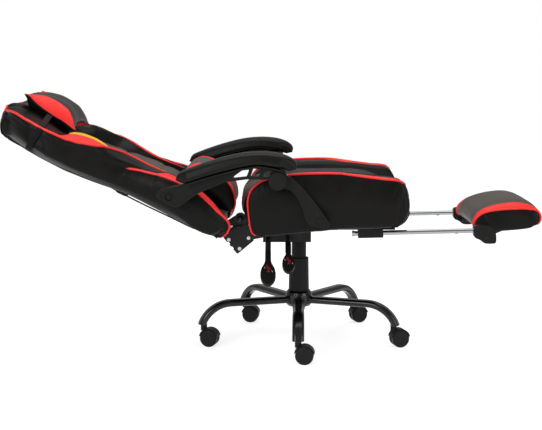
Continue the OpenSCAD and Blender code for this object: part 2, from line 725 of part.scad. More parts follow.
module footrest_board() color("#202122") at_column() {
  side_prism(-foot_pad_half_w + 12, foot_pad_half_w - 12)
    polygon([[566, 374], [690, 384], [690, 390], [566, 380]]);
  both_sides() side_prism(foot_pad_half_w - 12, foot_pad_half_w - 6)
    polygon([[545, 356], [552, 352], [566, 356], [620, 378.5], [690, 384], [690, 390], [545, 378.5]]);
  both_sides() cross_bar(foot_pivot, 5, foot_pad_half_w - 10, rod_y + 7);
}

foot_pad_outline = smooth([[524, 398], [534, 424], [556, 447], [600, 466], [655, 474], [694, 466], [720, 447],
  [731, 422], [722, 400], [700, 392], [660, 389], [600, 384.5], [545, 380]], 4);

module footrest_pad() color("#5a5450") at_column() difference() {
  side_prism(-foot_pad_half_w, foot_pad_half_w) polygon(foot_pad_outline);
  side_prism(-300, 300) polygon([[500, 375], [566, 380.2], [690, 390.2], [700, 370], [500, 350]]);
}

base_hub();
base_legs();
gas_lift_tube();
gas_piston_rod();
lift_guide_bush();
lower_column_cover();
caster_1_fork();
caster_2_fork();
caster_3_fork();
caster_4_fork();
caster_5_fork();
caster_1_wheels();
caster_2_wheels();
caster_3_wheels();
caster_4_wheels();
caster_5_wheels();
gas_cylinder();
upper_column_cover();
gas_valve_pin();
seat_mechanism();
mechanism_bolts();
seat_board();
seat_cushion();
seat_bolster_left();
seat_bolster_right();
rod_guide_left();
rod_guide_right();
recliner_plate_left();
recliner_plate_right();
recliner_bolts();
recliner_carrier();
recline_pivot_rod();
recline_springs();
strut_bolts();
lift_lever_rod();
lift_lever_grip();
recline_lever_rod();
recline_lever_grip();
back_frame();
back_brackets();
back_panel();
back_wing_left();
back_wing_right();
back_shell();
headrest_pillow();
headrest_strap();
lumbar_pillow();
back_strap();
strap_buckle();
arm_bolts();
arm_frame_left();
arm_frame_right();
arm_pad_left();
arm_pad_right();
arm_strut_left();
arm_strut_right();
footrest_rods();
footrest_brackets();
footrest_board();
footrest_pad();
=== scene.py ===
"""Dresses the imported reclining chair: sewn pads, piping, cushions, finishes, light and camera."""
import json
import logging
import math
from dataclasses import dataclass, replace
from enum import Enum, IntEnum
from typing import Callable, Sequence

import bmesh
import bpy
import numpy as np
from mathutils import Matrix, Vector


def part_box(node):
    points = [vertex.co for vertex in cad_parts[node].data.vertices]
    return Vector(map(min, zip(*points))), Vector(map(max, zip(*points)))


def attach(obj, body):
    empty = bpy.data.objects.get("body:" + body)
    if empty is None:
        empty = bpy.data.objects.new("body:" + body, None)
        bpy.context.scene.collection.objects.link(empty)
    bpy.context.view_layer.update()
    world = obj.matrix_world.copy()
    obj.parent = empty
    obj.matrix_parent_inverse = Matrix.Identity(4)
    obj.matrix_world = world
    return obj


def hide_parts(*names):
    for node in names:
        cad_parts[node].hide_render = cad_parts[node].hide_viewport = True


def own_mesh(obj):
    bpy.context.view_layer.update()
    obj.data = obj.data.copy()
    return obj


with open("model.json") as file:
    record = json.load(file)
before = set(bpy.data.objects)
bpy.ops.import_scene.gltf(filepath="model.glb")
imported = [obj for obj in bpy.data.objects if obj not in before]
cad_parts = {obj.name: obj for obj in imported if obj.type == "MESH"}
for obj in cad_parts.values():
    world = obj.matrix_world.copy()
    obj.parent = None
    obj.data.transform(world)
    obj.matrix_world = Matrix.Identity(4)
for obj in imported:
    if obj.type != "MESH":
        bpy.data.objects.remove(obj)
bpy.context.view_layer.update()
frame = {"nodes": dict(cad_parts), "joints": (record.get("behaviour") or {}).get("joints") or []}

LOG = logging.getLogger("chair")
MM = 0.001
LINE_STEPS = 24          # places that a drawn line gets between two of its points
BASE_STEPS = 400         # places that a pad's base line is drawn with
OFF_SEAM_MM = 99.0       # stands for "no seam near"
PUFF_POWER = 0.6         # how full a panel stays towards its seams; lower is fuller
DART_DEPTH_MM = 1.8
DART_WIDTH_MM = 4.5
SEWN_WITHIN_MM = 4.0     # the cover is held this close to a seam while the stuffing swells
STUFFING_FRAMES = 14
Knots = Sequence[tuple[float, float]]


class Side(Enum):
    """The two sides of the chair, as the sign that its pieces take across the middle."""

    LEFT = 1
    RIGHT = -1

    @property
    def word(self) -> str:
        """The side's name as it stands in the names of nodes and bodies."""
        return self.name.lower()


class Axis(IntEnum):
    """Which side-view coordinate the places along a pad count in."""

    FORWARD = 0
    UPWARD = 1


# ---------------------------------------------------------------- lines and interpolation


def ease(knots: Knots, places: np.ndarray) -> np.ndarray:
    """Reads a value along a piece from a few set places.

    Args:
        knots: (place, value) pairs in rising order of place.
        places: where the value is wanted.

    Returns:
        The values: cubic pieces whose slope at a knot is the harmonic mean of its two neighbours'
        slopes, or zero at a turning point, so that the line never overshoots a knot.
    """
    at = np.array([k[0] for k in knots], float)
    value = np.array([k[1] for k in knots], float)
    if len(at) == 1:
        return np.full(len(places), value[0])
    width = np.diff(at)
    slope = np.diff(value) / width
    tangent = np.zeros(len(at))
    both = slope[1:] * slope[:-1]
    tangent[1:-1] = np.where(both > 0, 2 * both / (slope[1:] + slope[:-1] + (both <= 0)), 0.0)
    tangent[0], tangent[-1] = slope[0], slope[-1]
    where = np.clip(places, at[0], at[-1])
    k = np.clip(np.searchsorted(at, where, side="right") - 1, 0, len(width) - 1)
    t = (where - at[k]) / width[k]
    h = width[k]
    return ((2 * t**3 - 3 * t**2 + 1) * value[k] + (t**3 - 2 * t**2 + t) * h * tangent[k]
            + (3 * t**2 - 2 * t**3) * value[k + 1] + (t**3 - t**2) * h * tangent[k + 1])


def flowing(points: Sequence[tuple[float, ...]], count: int) -> np.ndarray:
    """Draws a smooth line through points and spaces it evenly.

    Args:
        points: the places that the line passes through.
        count: how many places the result has.

    Returns:
        Array (count, dimensions): a Catmull-Rom line, resampled at equal steps of its own length.
    """
    p = np.array(points, float)
    p = np.vstack([2 * p[0] - p[1], p, 2 * p[-1] - p[-2]])
    t = np.linspace(0, 1, LINE_STEPS, endpoint=False)[:, None, None]
    a, b, c, d = p[:-3], p[1:-2], p[2:-1], p[3:]
    line = 0.5 * (2 * b + (c - a) * t + (2 * a - 5 * b + 4 * c - d) * t**2
                  + (3 * b - a - 3 * c + d) * t**3)
    line = np.vstack([line.transpose(1, 0, 2).reshape(-1, p.shape[1]), p[-2]])
    run = running_length(line)
    want = np.linspace(0, run[-1], count)
    return np.stack([np.interp(want, run, line[:, i]) for i in range(p.shape[1])], axis=1)


def running_length(line: np.ndarray) -> np.ndarray:
    """Gives the length run at each place of a line, starting from zero."""
    return np.concatenate([[0.0], np.cumsum(np.linalg.norm(np.diff(line, axis=0), axis=1))])


def unit(v: np.ndarray) -> np.ndarray:
    """Scales vectors to length one along their last axis."""
    return v / np.maximum(np.linalg.norm(v, axis=-1, keepdims=True), 1e-9)


# ---------------------------------------------------------------- the chair's own coordinates


@dataclass(frozen=True)
class Datum:
    """Where the seat and the backrest are measured from.

    The seat is drawn in side view from the column; the backrest is drawn along its own lean,
    from its foot, with the first number forward out of the back and the second up along it.
    """

    column_x: float
    pivot: tuple[float, float]
    lean: float = math.radians(63.6)
    foot_from_pivot: tuple[float, float] = (-59 * MM, -21.5 * MM)

    def seat(self, a: np.ndarray, b: np.ndarray, y: np.ndarray) -> np.ndarray:
        """Places side-view millimetres from the column in the chair, in metres."""
        return np.stack([self.column_x + a * MM, y * MM, b * MM], axis=-1)

    def back(self, a: np.ndarray, b: np.ndarray, y: np.ndarray) -> np.ndarray:
        """Places backrest millimetres (forward, up along) in the chair, in metres."""
        c, s = math.cos(self.lean), math.sin(self.lean)
        x = self.pivot[0] + self.foot_from_pivot[0] + (a * c - b * s) * MM
        z = self.pivot[1] + self.foot_from_pivot[1] + (a * s + b * c) * MM
        return np.stack([x, y * MM, z], axis=-1)


def read_datum() -> Datum:
    """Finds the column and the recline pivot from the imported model.

    Returns:
        The datum that every outline below is placed by.
    """
    low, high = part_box("gas_cylinder")
    pivot = next(j["pos_m"] for j in frame["joints"] if j["name"] == "back_recline")
    return Datum(column_x=(low.x + high.x) / 2, pivot=(pivot[0], pivot[2]))


DATUM = read_datum()


# ---------------------------------------------------------------- materials


def linear(colour: str) -> tuple[float, float, float, float]:
    """Turns an sRGB colour such as '#1f1e1c' into the linear values that shaders work in.

    Args:
        colour: the colour, as a hash sign and six hex digits.

    Returns:
        Linear red, green and blue, and full opacity.
    """
    parts = [int(colour[i:i + 2], 16) / 255 for i in (1, 3, 5)]
    lin = [p / 12.92 if p <= 0.04045 else ((p + 0.055) / 1.055) ** 2.4 for p in parts]
    return (*lin, 1.0)


def add_node(tree: bpy.types.NodeTree, kind: str, links: dict | None = None,
             **settings: object) -> bpy.types.Node:
    """Adds one shader node.

    Args:
        tree: the material's node tree.
        kind: the node's type name without the 'ShaderNode' prefix.
        links: socket name or number to the output socket or the value that feeds it.
        settings: the node's own properties.

    Returns:
        The new node.
    """
    node = tree.nodes.new("ShaderNode" + kind)
    for key, value in settings.items():
        setattr(node, key, value)
    for key, value in (links or {}).items():
        socket = node.inputs[key]
        if isinstance(value, bpy.types.NodeSocket):
            tree.links.new(value, socket)
        else:
            socket.default_value = value
    return node


@dataclass(frozen=True)
class Finish:
    """One material of the chair.

    Attributes:
        name: the material's name, after the real material.
        colour: base colour, sRGB hex.
        fleck: second colour that the base drifts towards in patches.
        patch_mm: size of those patches.
        drift: how far the colour drifts, 0 to 1.
        rough: lowest and highest roughness.
        grain_mm: size of the surface grain.
        depth_mm: depth of that grain.
        metal: 1 for bare metal, 0 otherwise.
        specular: level of the plain reflection.
        coat: strength of a clear gloss layer.
        sheen: strength of the soft fibre sheen.
        stitched: whether sewn lines are drawn along the seams.
        woven: whether threads cross over and under.
        brushed: whether the grain is drawn out along one axis.
    """

    name: str
    colour: str
    fleck: str
    patch_mm: float = 40
    drift: float = 0.5
    rough: tuple[float, float] = (0.4, 0.5)
    grain_mm: float = 1.2
    depth_mm: float = 0.08
    metal: float = 0.0
    specular: float = 0.5
    coat: float = 0.0
    sheen: float = 0.0
    stitched: bool = False
    woven: bool = False
    brushed: bool = False

    def make(self) -> bpy.types.Material:
        """Builds the material once and gives it back each time it is asked for.

        Returns:
            The material, shared by every piece with this finish.
        """
        known = bpy.data.materials.get(self.name)
        if known is not None:
            return known
        material = bpy.data.materials.new(self.name)
        material.use_nodes = True
        tree = material.node_tree
        tree.nodes.clear()
        place = add_node(tree, "TexCoord").outputs["Object"]
        patches = add_node(tree, "TexNoise", {"Vector": place, "Scale": 1 / (self.patch_mm * MM),
                                              "Detail": 4.0, "Roughness": 0.6})
        spread = add_node(tree, "MapRange", {"Value": patches.outputs["Fac"], 1: 0.35, 2: 0.65,
                                             3: 0.0, 4: self.drift})
        colour = add_node(tree, "Mix", {0: spread.outputs[0], 6: linear(self.colour),
                                        7: linear(self.fleck)}, data_type="RGBA").outputs[2]
        height = self._grain(tree, place)
        if self.stitched:
            colour, height = self._stitches(tree, colour, height)
        bump = add_node(tree, "Bump", {"Height": height, "Strength": 1.0,
                                       "Distance": self.depth_mm * MM})
        gloss = add_node(tree, "MapRange", {"Value": patches.outputs["Fac"], 1: 0.3, 2: 0.7,
                                            3: self.rough[0], 4: self.rough[1]})
        shader = add_node(tree, "BsdfPrincipled", {
            "Base Color": colour, "Roughness": gloss.outputs[0], "Metallic": self.metal,
            "Specular IOR Level": self.specular, "Coat Weight": self.coat, "Coat Roughness": 0.12,
            "Sheen Weight": self.sheen, "Sheen Roughness": 0.4, "Normal": bump.outputs[0]})
        add_node(tree, "OutputMaterial", {"Surface": shader.outputs[0]})
        return material

    def _grain(self, tree: bpy.types.NodeTree, place: bpy.types.NodeSocket) -> bpy.types.NodeSocket:
        """Builds the fine relief: pebbles, crossed threads or drawn-out brush lines.

        Args:
            tree: the material's node tree.
            place: the output that carries the object's own coordinates.

        Returns:
            The relief's height, about 0 to 1.
        """
        scale = 1 / (self.grain_mm * MM)
        if self.woven:
            warp = add_node(tree, "TexWave", {"Vector": place, "Scale": scale / 6.3, "Distortion": 0.3},
                            bands_direction="Y")
            weft = add_node(tree, "TexWave", {"Vector": place, "Scale": scale / 6.3, "Distortion": 0.3},
                            bands_direction="DIAGONAL")
            return add_node(tree, "Math", {0: warp.outputs["Fac"], 1: weft.outputs["Fac"]},
                            operation="MAXIMUM").outputs[0]
        if self.brushed:
            drawn = add_node(tree, "Mapping", {"Vector": place, "Scale": (0.04, 1.0, 1.0)})
            return add_node(tree, "TexNoise", {"Vector": drawn.outputs[0], "Scale": scale,
                                               "Detail": 3.0}).outputs["Fac"]
        cells = add_node(tree, "TexVoronoi", {"Vector": place, "Scale": scale},
                         feature="SMOOTH_F1")
        soft = add_node(tree, "TexNoise", {"Vector": place, "Scale": scale / 7, "Detail": 3.0})
        return add_node(tree, "Math", {0: cells.outputs["Distance"], 1: soft.outputs["Fac"]},
                        operation="ADD").outputs[0]

    def _stitches(self, tree: bpy.types.NodeTree, colour: bpy.types.NodeSocket,
                  height: bpy.types.NodeSocket) -> tuple[bpy.types.NodeSocket, bpy.types.NodeSocket]:
        """Adds a row of stitches beside each sewn line, and blends the cover a little towards its second
        colour within 9 mm of the line.

        The mesh carries two distances in millimetres: from the nearest sewn line, and along it. A
        thread lies 7 mm off the line, 6.4 mm long at every 9 mm.

        Args:
            tree: the material's node tree.
            colour: the cover's colour so far.
            height: the cover's relief so far.

        Returns:
            The colour and the relief with the stitches in them.
        """
        away = add_node(tree, "Attribute", attribute_name="from_seam").outputs["Fac"]
        along = add_node(tree, "Attribute", attribute_name="along_seam").outputs["Fac"]
        row = add_node(tree, "Math", {0: away, 1: 7.0, 2: 0.7}, operation="COMPARE").outputs[0]
        beat = add_node(tree, "Math", {0: along, 1: 4.5}, operation="PINGPONG").outputs[0]
        long = add_node(tree, "Math", {0: beat, 1: 1.3}, operation="GREATER_THAN").outputs[0]
        thread = add_node(tree, "Math", {0: row, 1: long}, operation="MULTIPLY").outputs[0]
        # Blends the cover towards its second colour within 9 mm of a sewn line, most at the line
        seam_blend = add_node(tree, "MapRange", {"Value": away, 1: 0.0, 2: 9.0, 3: 0.35, 4: 0.0}).outputs[0]
        colour = add_node(tree, "Mix", {0: seam_blend, 6: colour, 7: linear(self.fleck)},
                          data_type="RGBA").outputs[2]
        colour = add_node(tree, "Mix", {0: thread, 6: colour, 7: linear(self.fleck)},
                          data_type="RGBA").outputs[2]
        raised = add_node(tree, "Math", {0: thread, 1: 2.0, 2: height}, operation="MULTIPLY_ADD")
        return colour, raised.outputs[0]


# Coated fabric of the covers: fine pebbled grain, dark and slightly brown where light grazes it
BLACK_COVER = Finish("black_polyurethane_leather", "#0f0e0d", "#171514", 55, 0.6, (0.34, 0.46),
                     1.1, 0.08, specular=0.11, stitched=True)
# The same black cover on the upward-facing middle panels, a little more matt from use, with a painted
# grey-brown sheen in its colour standing for the grazing light those panels catch
PAINTED_SHEEN_COVER = Finish("black_leather_painted_grey_brown_sheen", "#4a433d", "#565049", 60, 0.6,
                      (0.42, 0.54), 1.1, 0.08, specular=0.25, stitched=True)
# The dome of the head cushion: black cover with a painted brown sheen in its colour, standing for the light
# that the dome catches
HEAD_DOME_SHEEN_COVER = replace(PAINTED_SHEEN_COVER, name="black_leather_painted_dome_sheen", colour="#26221f",
                     fleck="#332e2a", specular=0.3)
# Bright red cover of the wedges and side panels
RED_COVER = Finish("red_polyurethane_leather", "#fb2f2a", "#ea2622", 45, 0.45, (0.4, 0.52),
                   1.1, 0.08, specular=0.25, stitched=True)
# Yellow accent strip beside the red wedge of the backrest
YELLOW_COVER = Finish("yellow_polyurethane_leather", "#e8b818", "#d8a610", 45, 0.4, (0.42, 0.52),
                      1.1, 0.10, specular=0.3)
# Cord that is sewn into the seams
RED_PIPING = Finish("red_piping_cord", "#fd302b", "#ee2723", 20, 0.35, (0.36, 0.46), 0.9, 0.06,
                    specular=0.4)
# Non-woven cloth under the seat and behind the back
LINING = Finish("black_nonwoven_lining", "#161616", "#232323", 30, 0.6, (0.75, 0.9), 0.9, 0.12,
                specular=0.2, sheen=0.25)
# Elastic band, ribbed along its width
WEBBING = Finish("black_elastic_webbing", "#0e0e0e", "#181818", 12, 0.5, (0.6, 0.75), 1.4, 0.25,
                 specular=0.12, sheen=0.04, woven=True)
# The same band where it has paled on the open rear
GREY_WEBBING = replace(WEBBING, name="grey_elastic_webbing", colour="#3c3c3c", fleck="#6a6a6a")
# Foamed armrest skin with a close leather print
ARM_SKIN = Finish("black_foamed_polyurethane_skin", "#0f0e0d", "#171615", 50, 0.5, (0.32, 0.44),
                  1.0, 0.08, specular=0.14, stitched=True)
# Moulded nylon of arms, covers and casters, with a spark-eroded texture
MOULDED = Finish("black_moulded_nylon", "#151413", "#1c1b1a", 35, 0.5, (0.38, 0.5), 0.5, 0.05,
                 specular=0.16)
# Column covers: the same texture in a duller, paler plastic
MATT_MOULDED = replace(MOULDED, name="matt_moulded_polypropylene", colour="#191919",
                       fleck="#242424", rough=(0.5, 0.62))
# Tread of the caster wheels
TREAD = replace(MOULDED, name="black_nylon_tread", colour="#161616", fleck="#212121",
                rough=(0.38, 0.5))
# Powder-coated tube: gloss black with a faint orange peel
PAINTED_TUBE = Finish("gloss_black_powder_coat", "#060606", "#0c0c0c", 60, 0.4, (0.18, 0.28),
                      3.5, 0.03, specular=0.3, coat=0.25)
# Thin painted plates, more matt and a little scuffed
PAINTED_PLATE = Finish("satin_black_painted_steel", "#0e0e0f", "#171718", 25, 0.6, (0.32, 0.5),
                       1.6, 0.05, specular=0.25)
# Chrome on the footrest rods and the gas cylinder: near mirror with faint drawn-out streaks
CHROME = Finish("bright_chrome_plate", "#a3a4a6", "#8f9092", 80, 0.3, (0.08, 0.14), 2.0, 0.01,
                metal=1.0, brushed=True)
# Zinc-plated screws and pins: pale, with a fine crystal mottle
ZINC = Finish("zinc_plated_steel", "#c3c6c9", "#9fa3a7", 8, 0.6, (0.25, 0.4), 0.6, 0.03,
              metal=1.0)
# Springs wound from oiled strip: dark metal with long, dull streaks
SPRING = Finish("oiled_spring_steel", "#4a4c4f", "#2f3032", 10, 0.5, (0.3, 0.45), 0.8, 0.03,
                metal=1.0, brushed=True)
# The column's guide bush: plain off-white plastic, slightly glossy
BUSH = Finish("ivory_acetal", "#d8d2c0", "#c6bfab", 20, 0.4, (0.4, 0.5), 0.8, 0.03)
# Printed marks on the lever grips
RED_MARK = Finish("red_pad_print", "#b3202a", "#8c1620", 5, 0.4, (0.4, 0.5), 0.5, 0.02)
WHITE_MARK = Finish("white_pad_print", "#c9c9c9", "#a8a8a8", 5, 0.4, (0.4, 0.5), 0.5, 0.02)

NODE_FINISHES: dict[str, Finish] = {
    "base_hub": PAINTED_TUBE, "base_legs": PAINTED_TUBE, "gas_lift_tube": PAINTED_PLATE,
    "gas_piston_rod": ZINC, "lift_guide_bush": BUSH, "lower_column_cover": MATT_MOULDED,
    "gas_cylinder": CHROME, "upper_column_cover": MATT_MOULDED, "gas_valve_pin": ZINC,
    "seat_mechanism": PAINTED_PLATE, "mechanism_bolts": ZINC, "seat_board": LINING,
    "rod_guide": MOULDED, "recliner_plate": PAINTED_PLATE, "recliner_bolts": ZINC,
    "recliner_carrier": PAINTED_PLATE, "recline_pivot_rod": PAINTED_PLATE, "recline_springs": SPRING,
    "strut_bolts": MOULDED, "lift_lever_rod": PAINTED_PLATE, "lift_lever_grip": MOULDED,
    "recline_lever_rod": PAINTED_PLATE, "recline_lever_grip": MOULDED,
    "back_frame": PAINTED_PLATE, "back_brackets": PAINTED_PLATE,
    "arm_bolts": MOULDED, "arm_frame": MOULDED, "arm_strut": MOULDED,
    "footrest_brackets": MOULDED, "footrest_board": PAINTED_PLATE,
    "strap_buckle": MOULDED,
}


def finish_of(node: str) -> Finish | None:
    """Picks the finish of a CAD node by the start of its name.

    Args:
        node: the node's name.

    Returns:
        Its finish, or None where a sewn piece stands for the node.
    """
    if node.startswith("caster"):
        return TREAD if node.endswith("wheels") else MOULDED
    return next((f for start, f in NODE_FINISHES.items() if node.startswith(start)), None)


# ---------------------------------------------------------------- mesh making


def new_piece(name: str, verts: np.ndarray, faces: list, finishes: Sequence[Finish],
              face_finish: np.ndarray | None = None,
              values: dict[str, np.ndarray] | None = None) -> bpy.types.Object:
    """Makes a smooth-shaded mesh object at the origin.

    Args:
        name: the piece's name.
        verts: places, in metres.
        faces: corner numbers of each face.
        finishes: the piece's materials, in slot order.
        face_finish: slot number of each face.
        values: one number for each vertex, by name, for the shaders.

    Returns:
        The linked object.
    """
    mesh = bpy.data.meshes.new(name)
    mesh.from_pydata(verts.tolist(), [], faces)
    for finish in finishes:
        mesh.materials.append(finish.make())
    if face_finish is not None:
        mesh.polygons.foreach_set("material_index", face_finish.astype(np.int32))
    mesh.polygons.foreach_set("use_smooth", np.ones(len(mesh.polygons), bool))
    for key, value in (values or {}).items():
        mesh.attributes.new(key, "FLOAT", "POINT").data.foreach_set("value", value.astype(np.float32))
    mesh.update()
    piece = bpy.data.objects.new(name, mesh)
    bpy.context.scene.collection.objects.link(piece)
    return piece


def close_and_orient(piece: bpy.types.Object) -> None:
    """Welds doubled vertices, closes open rims and turns all faces outwards."""
    bm = bmesh.new()
    bm.from_mesh(piece.data)
    bmesh.ops.remove_doubles(bm, verts=bm.verts, dist=0.02 * MM)
    rims = [e for e in bm.edges if e.is_boundary]
    if rims:
        bmesh.ops.holes_fill(bm, edges=rims, sides=0)
    bmesh.ops.recalc_face_normals(bm, faces=bm.faces)
    bm.to_mesh(piece.data)
    bm.free()


def grid_faces(rows: int, columns: int, wrap: bool) -> np.ndarray:
    """Numbers the four corners of each face of a grid whose vertices run row by row.

    Args:
        rows: vertices along the piece.
        columns: vertices around it.
        wrap: whether the last column joins the first.

    Returns:
        Array (faces, 4) of vertex numbers.
    """
    r = np.arange(rows - 1)[:, None]
    c = np.arange(columns if wrap else columns - 1)[None, :]
    d = (c + 1) % columns
    return np.stack([r * columns + c, r * columns + d, (r + 1) * columns + d,
                     (r + 1) * columns + c], axis=-1).reshape(-1, 4)


def sweep(name: str, line: np.ndarray, rings: np.ndarray, finish: Finish) -> bpy.types.Object:
    """Skins a row of rings that stand along a line, and closes both ends.

    Args:
        name: the piece's name.
        line: places along the middle, in metres.
        rings: offsets (places, around, 3) of each ring from its place.
        finish: its material.

    Returns:
        The closed piece.
    """
    verts = (line[:, None] + rings).reshape(-1, 3)
    piece = new_piece(name, verts, grid_faces(len(line), rings.shape[1], True).tolist(), [finish])
    close_and_orient(piece)
    return piece


def tube(name: str, line: np.ndarray, radius: float | np.ndarray, finish: Finish,
         sides: int = 10) -> bpy.types.Object:
    """Sweeps a round cord along a line.

    At each place the circle stands square to the line's own direction: its first axis is the cross
    product of that direction with one close to the chair's width, its second that of the first
    with the direction.

    Args:
        name: the piece's name.
        line: places along the middle of the cord, in metres.
        radius: one radius, or one for each place, in metres.
        finish: its material.
        sides: facets around it.

    Returns:
        The cord.
    """
    ahead = unit(np.gradient(line, axis=0))
    across = unit(np.cross(ahead, np.array([0.05, 1.0, 0.03])))
    up = np.cross(across, ahead)
    turn = np.linspace(0, 2 * np.pi, sides, endpoint=False)
    r = np.broadcast_to(np.asarray(radius, float), (len(line),))[:, None, None]
    ring = np.cos(turn)[None, :, None] * across[:, None] + np.sin(turn)[None, :, None] * up[:, None]
    return sweep(name, line, r * ring, finish)


def band(name: str, line: np.ndarray, out: np.ndarray, width: float, thick: float,
         finish: Finish) -> bpy.types.Object:
    """Lays a flat strap along a line.

    The cross-section is a bar of eight corners, bevelled by a third of its thickness; its flat
    side faces the given directions.

    Args:
        name: the piece's name.
        line: places along the middle of the strap, in metres.
        out: outward direction at each place.
        width: the strap's width in metres.
        thick: its thickness in metres.
        finish: its material.

    Returns:
        The strap.
    """
    ahead = unit(np.gradient(line, axis=0))
    wide = unit(np.cross(ahead, out))
    thin = np.cross(wide, ahead)
    w, t, e = width / 2, thick / 2, thick / 3
    corners = np.array([(-w, -t + e), (-w + e, -t), (w - e, -t), (w, -t + e), (w, t - e), (w - e, t),
                        (-w + e, t), (-w, t - e)])
    ring = corners[None, :, :1] * wide[:, None] + corners[None, :, 1:] * thin[:, None]
    return sweep(name, line, ring, finish)


# ---------------------------------------------------------------- sewn pads


@dataclass(frozen=True)
class Rail:
    """One sewn or shaping line that runs along a pad from its first end to its last.

    Attributes:
        name: what the line is on the real pad.
        rise: how far it stands from the pad's base line to its crown line, as a share, by place.
        reach: its distance from the middle of the chair in millimetres, by place.
        strips: mesh strips to the next line.
        puff: how far the panel up to the next line swells, in millimetres, by place.
        finish: slot number of that panel's material.
        crease: 0 where the cover rounds over the line, 1 where it folds.
        sewn: whether stitches follow the line.
        span: places between which that panel has its own material; elsewhere it has the first.
    """

    name: str
    rise: Knots
    reach: Knots
    strips: int = 6
    puff: Knots = ((0, 0),)
    finish: int = 0
    crease: float = 0.0
    sewn: bool = False
    span: tuple[float, float] = (-1e4, 1e4)


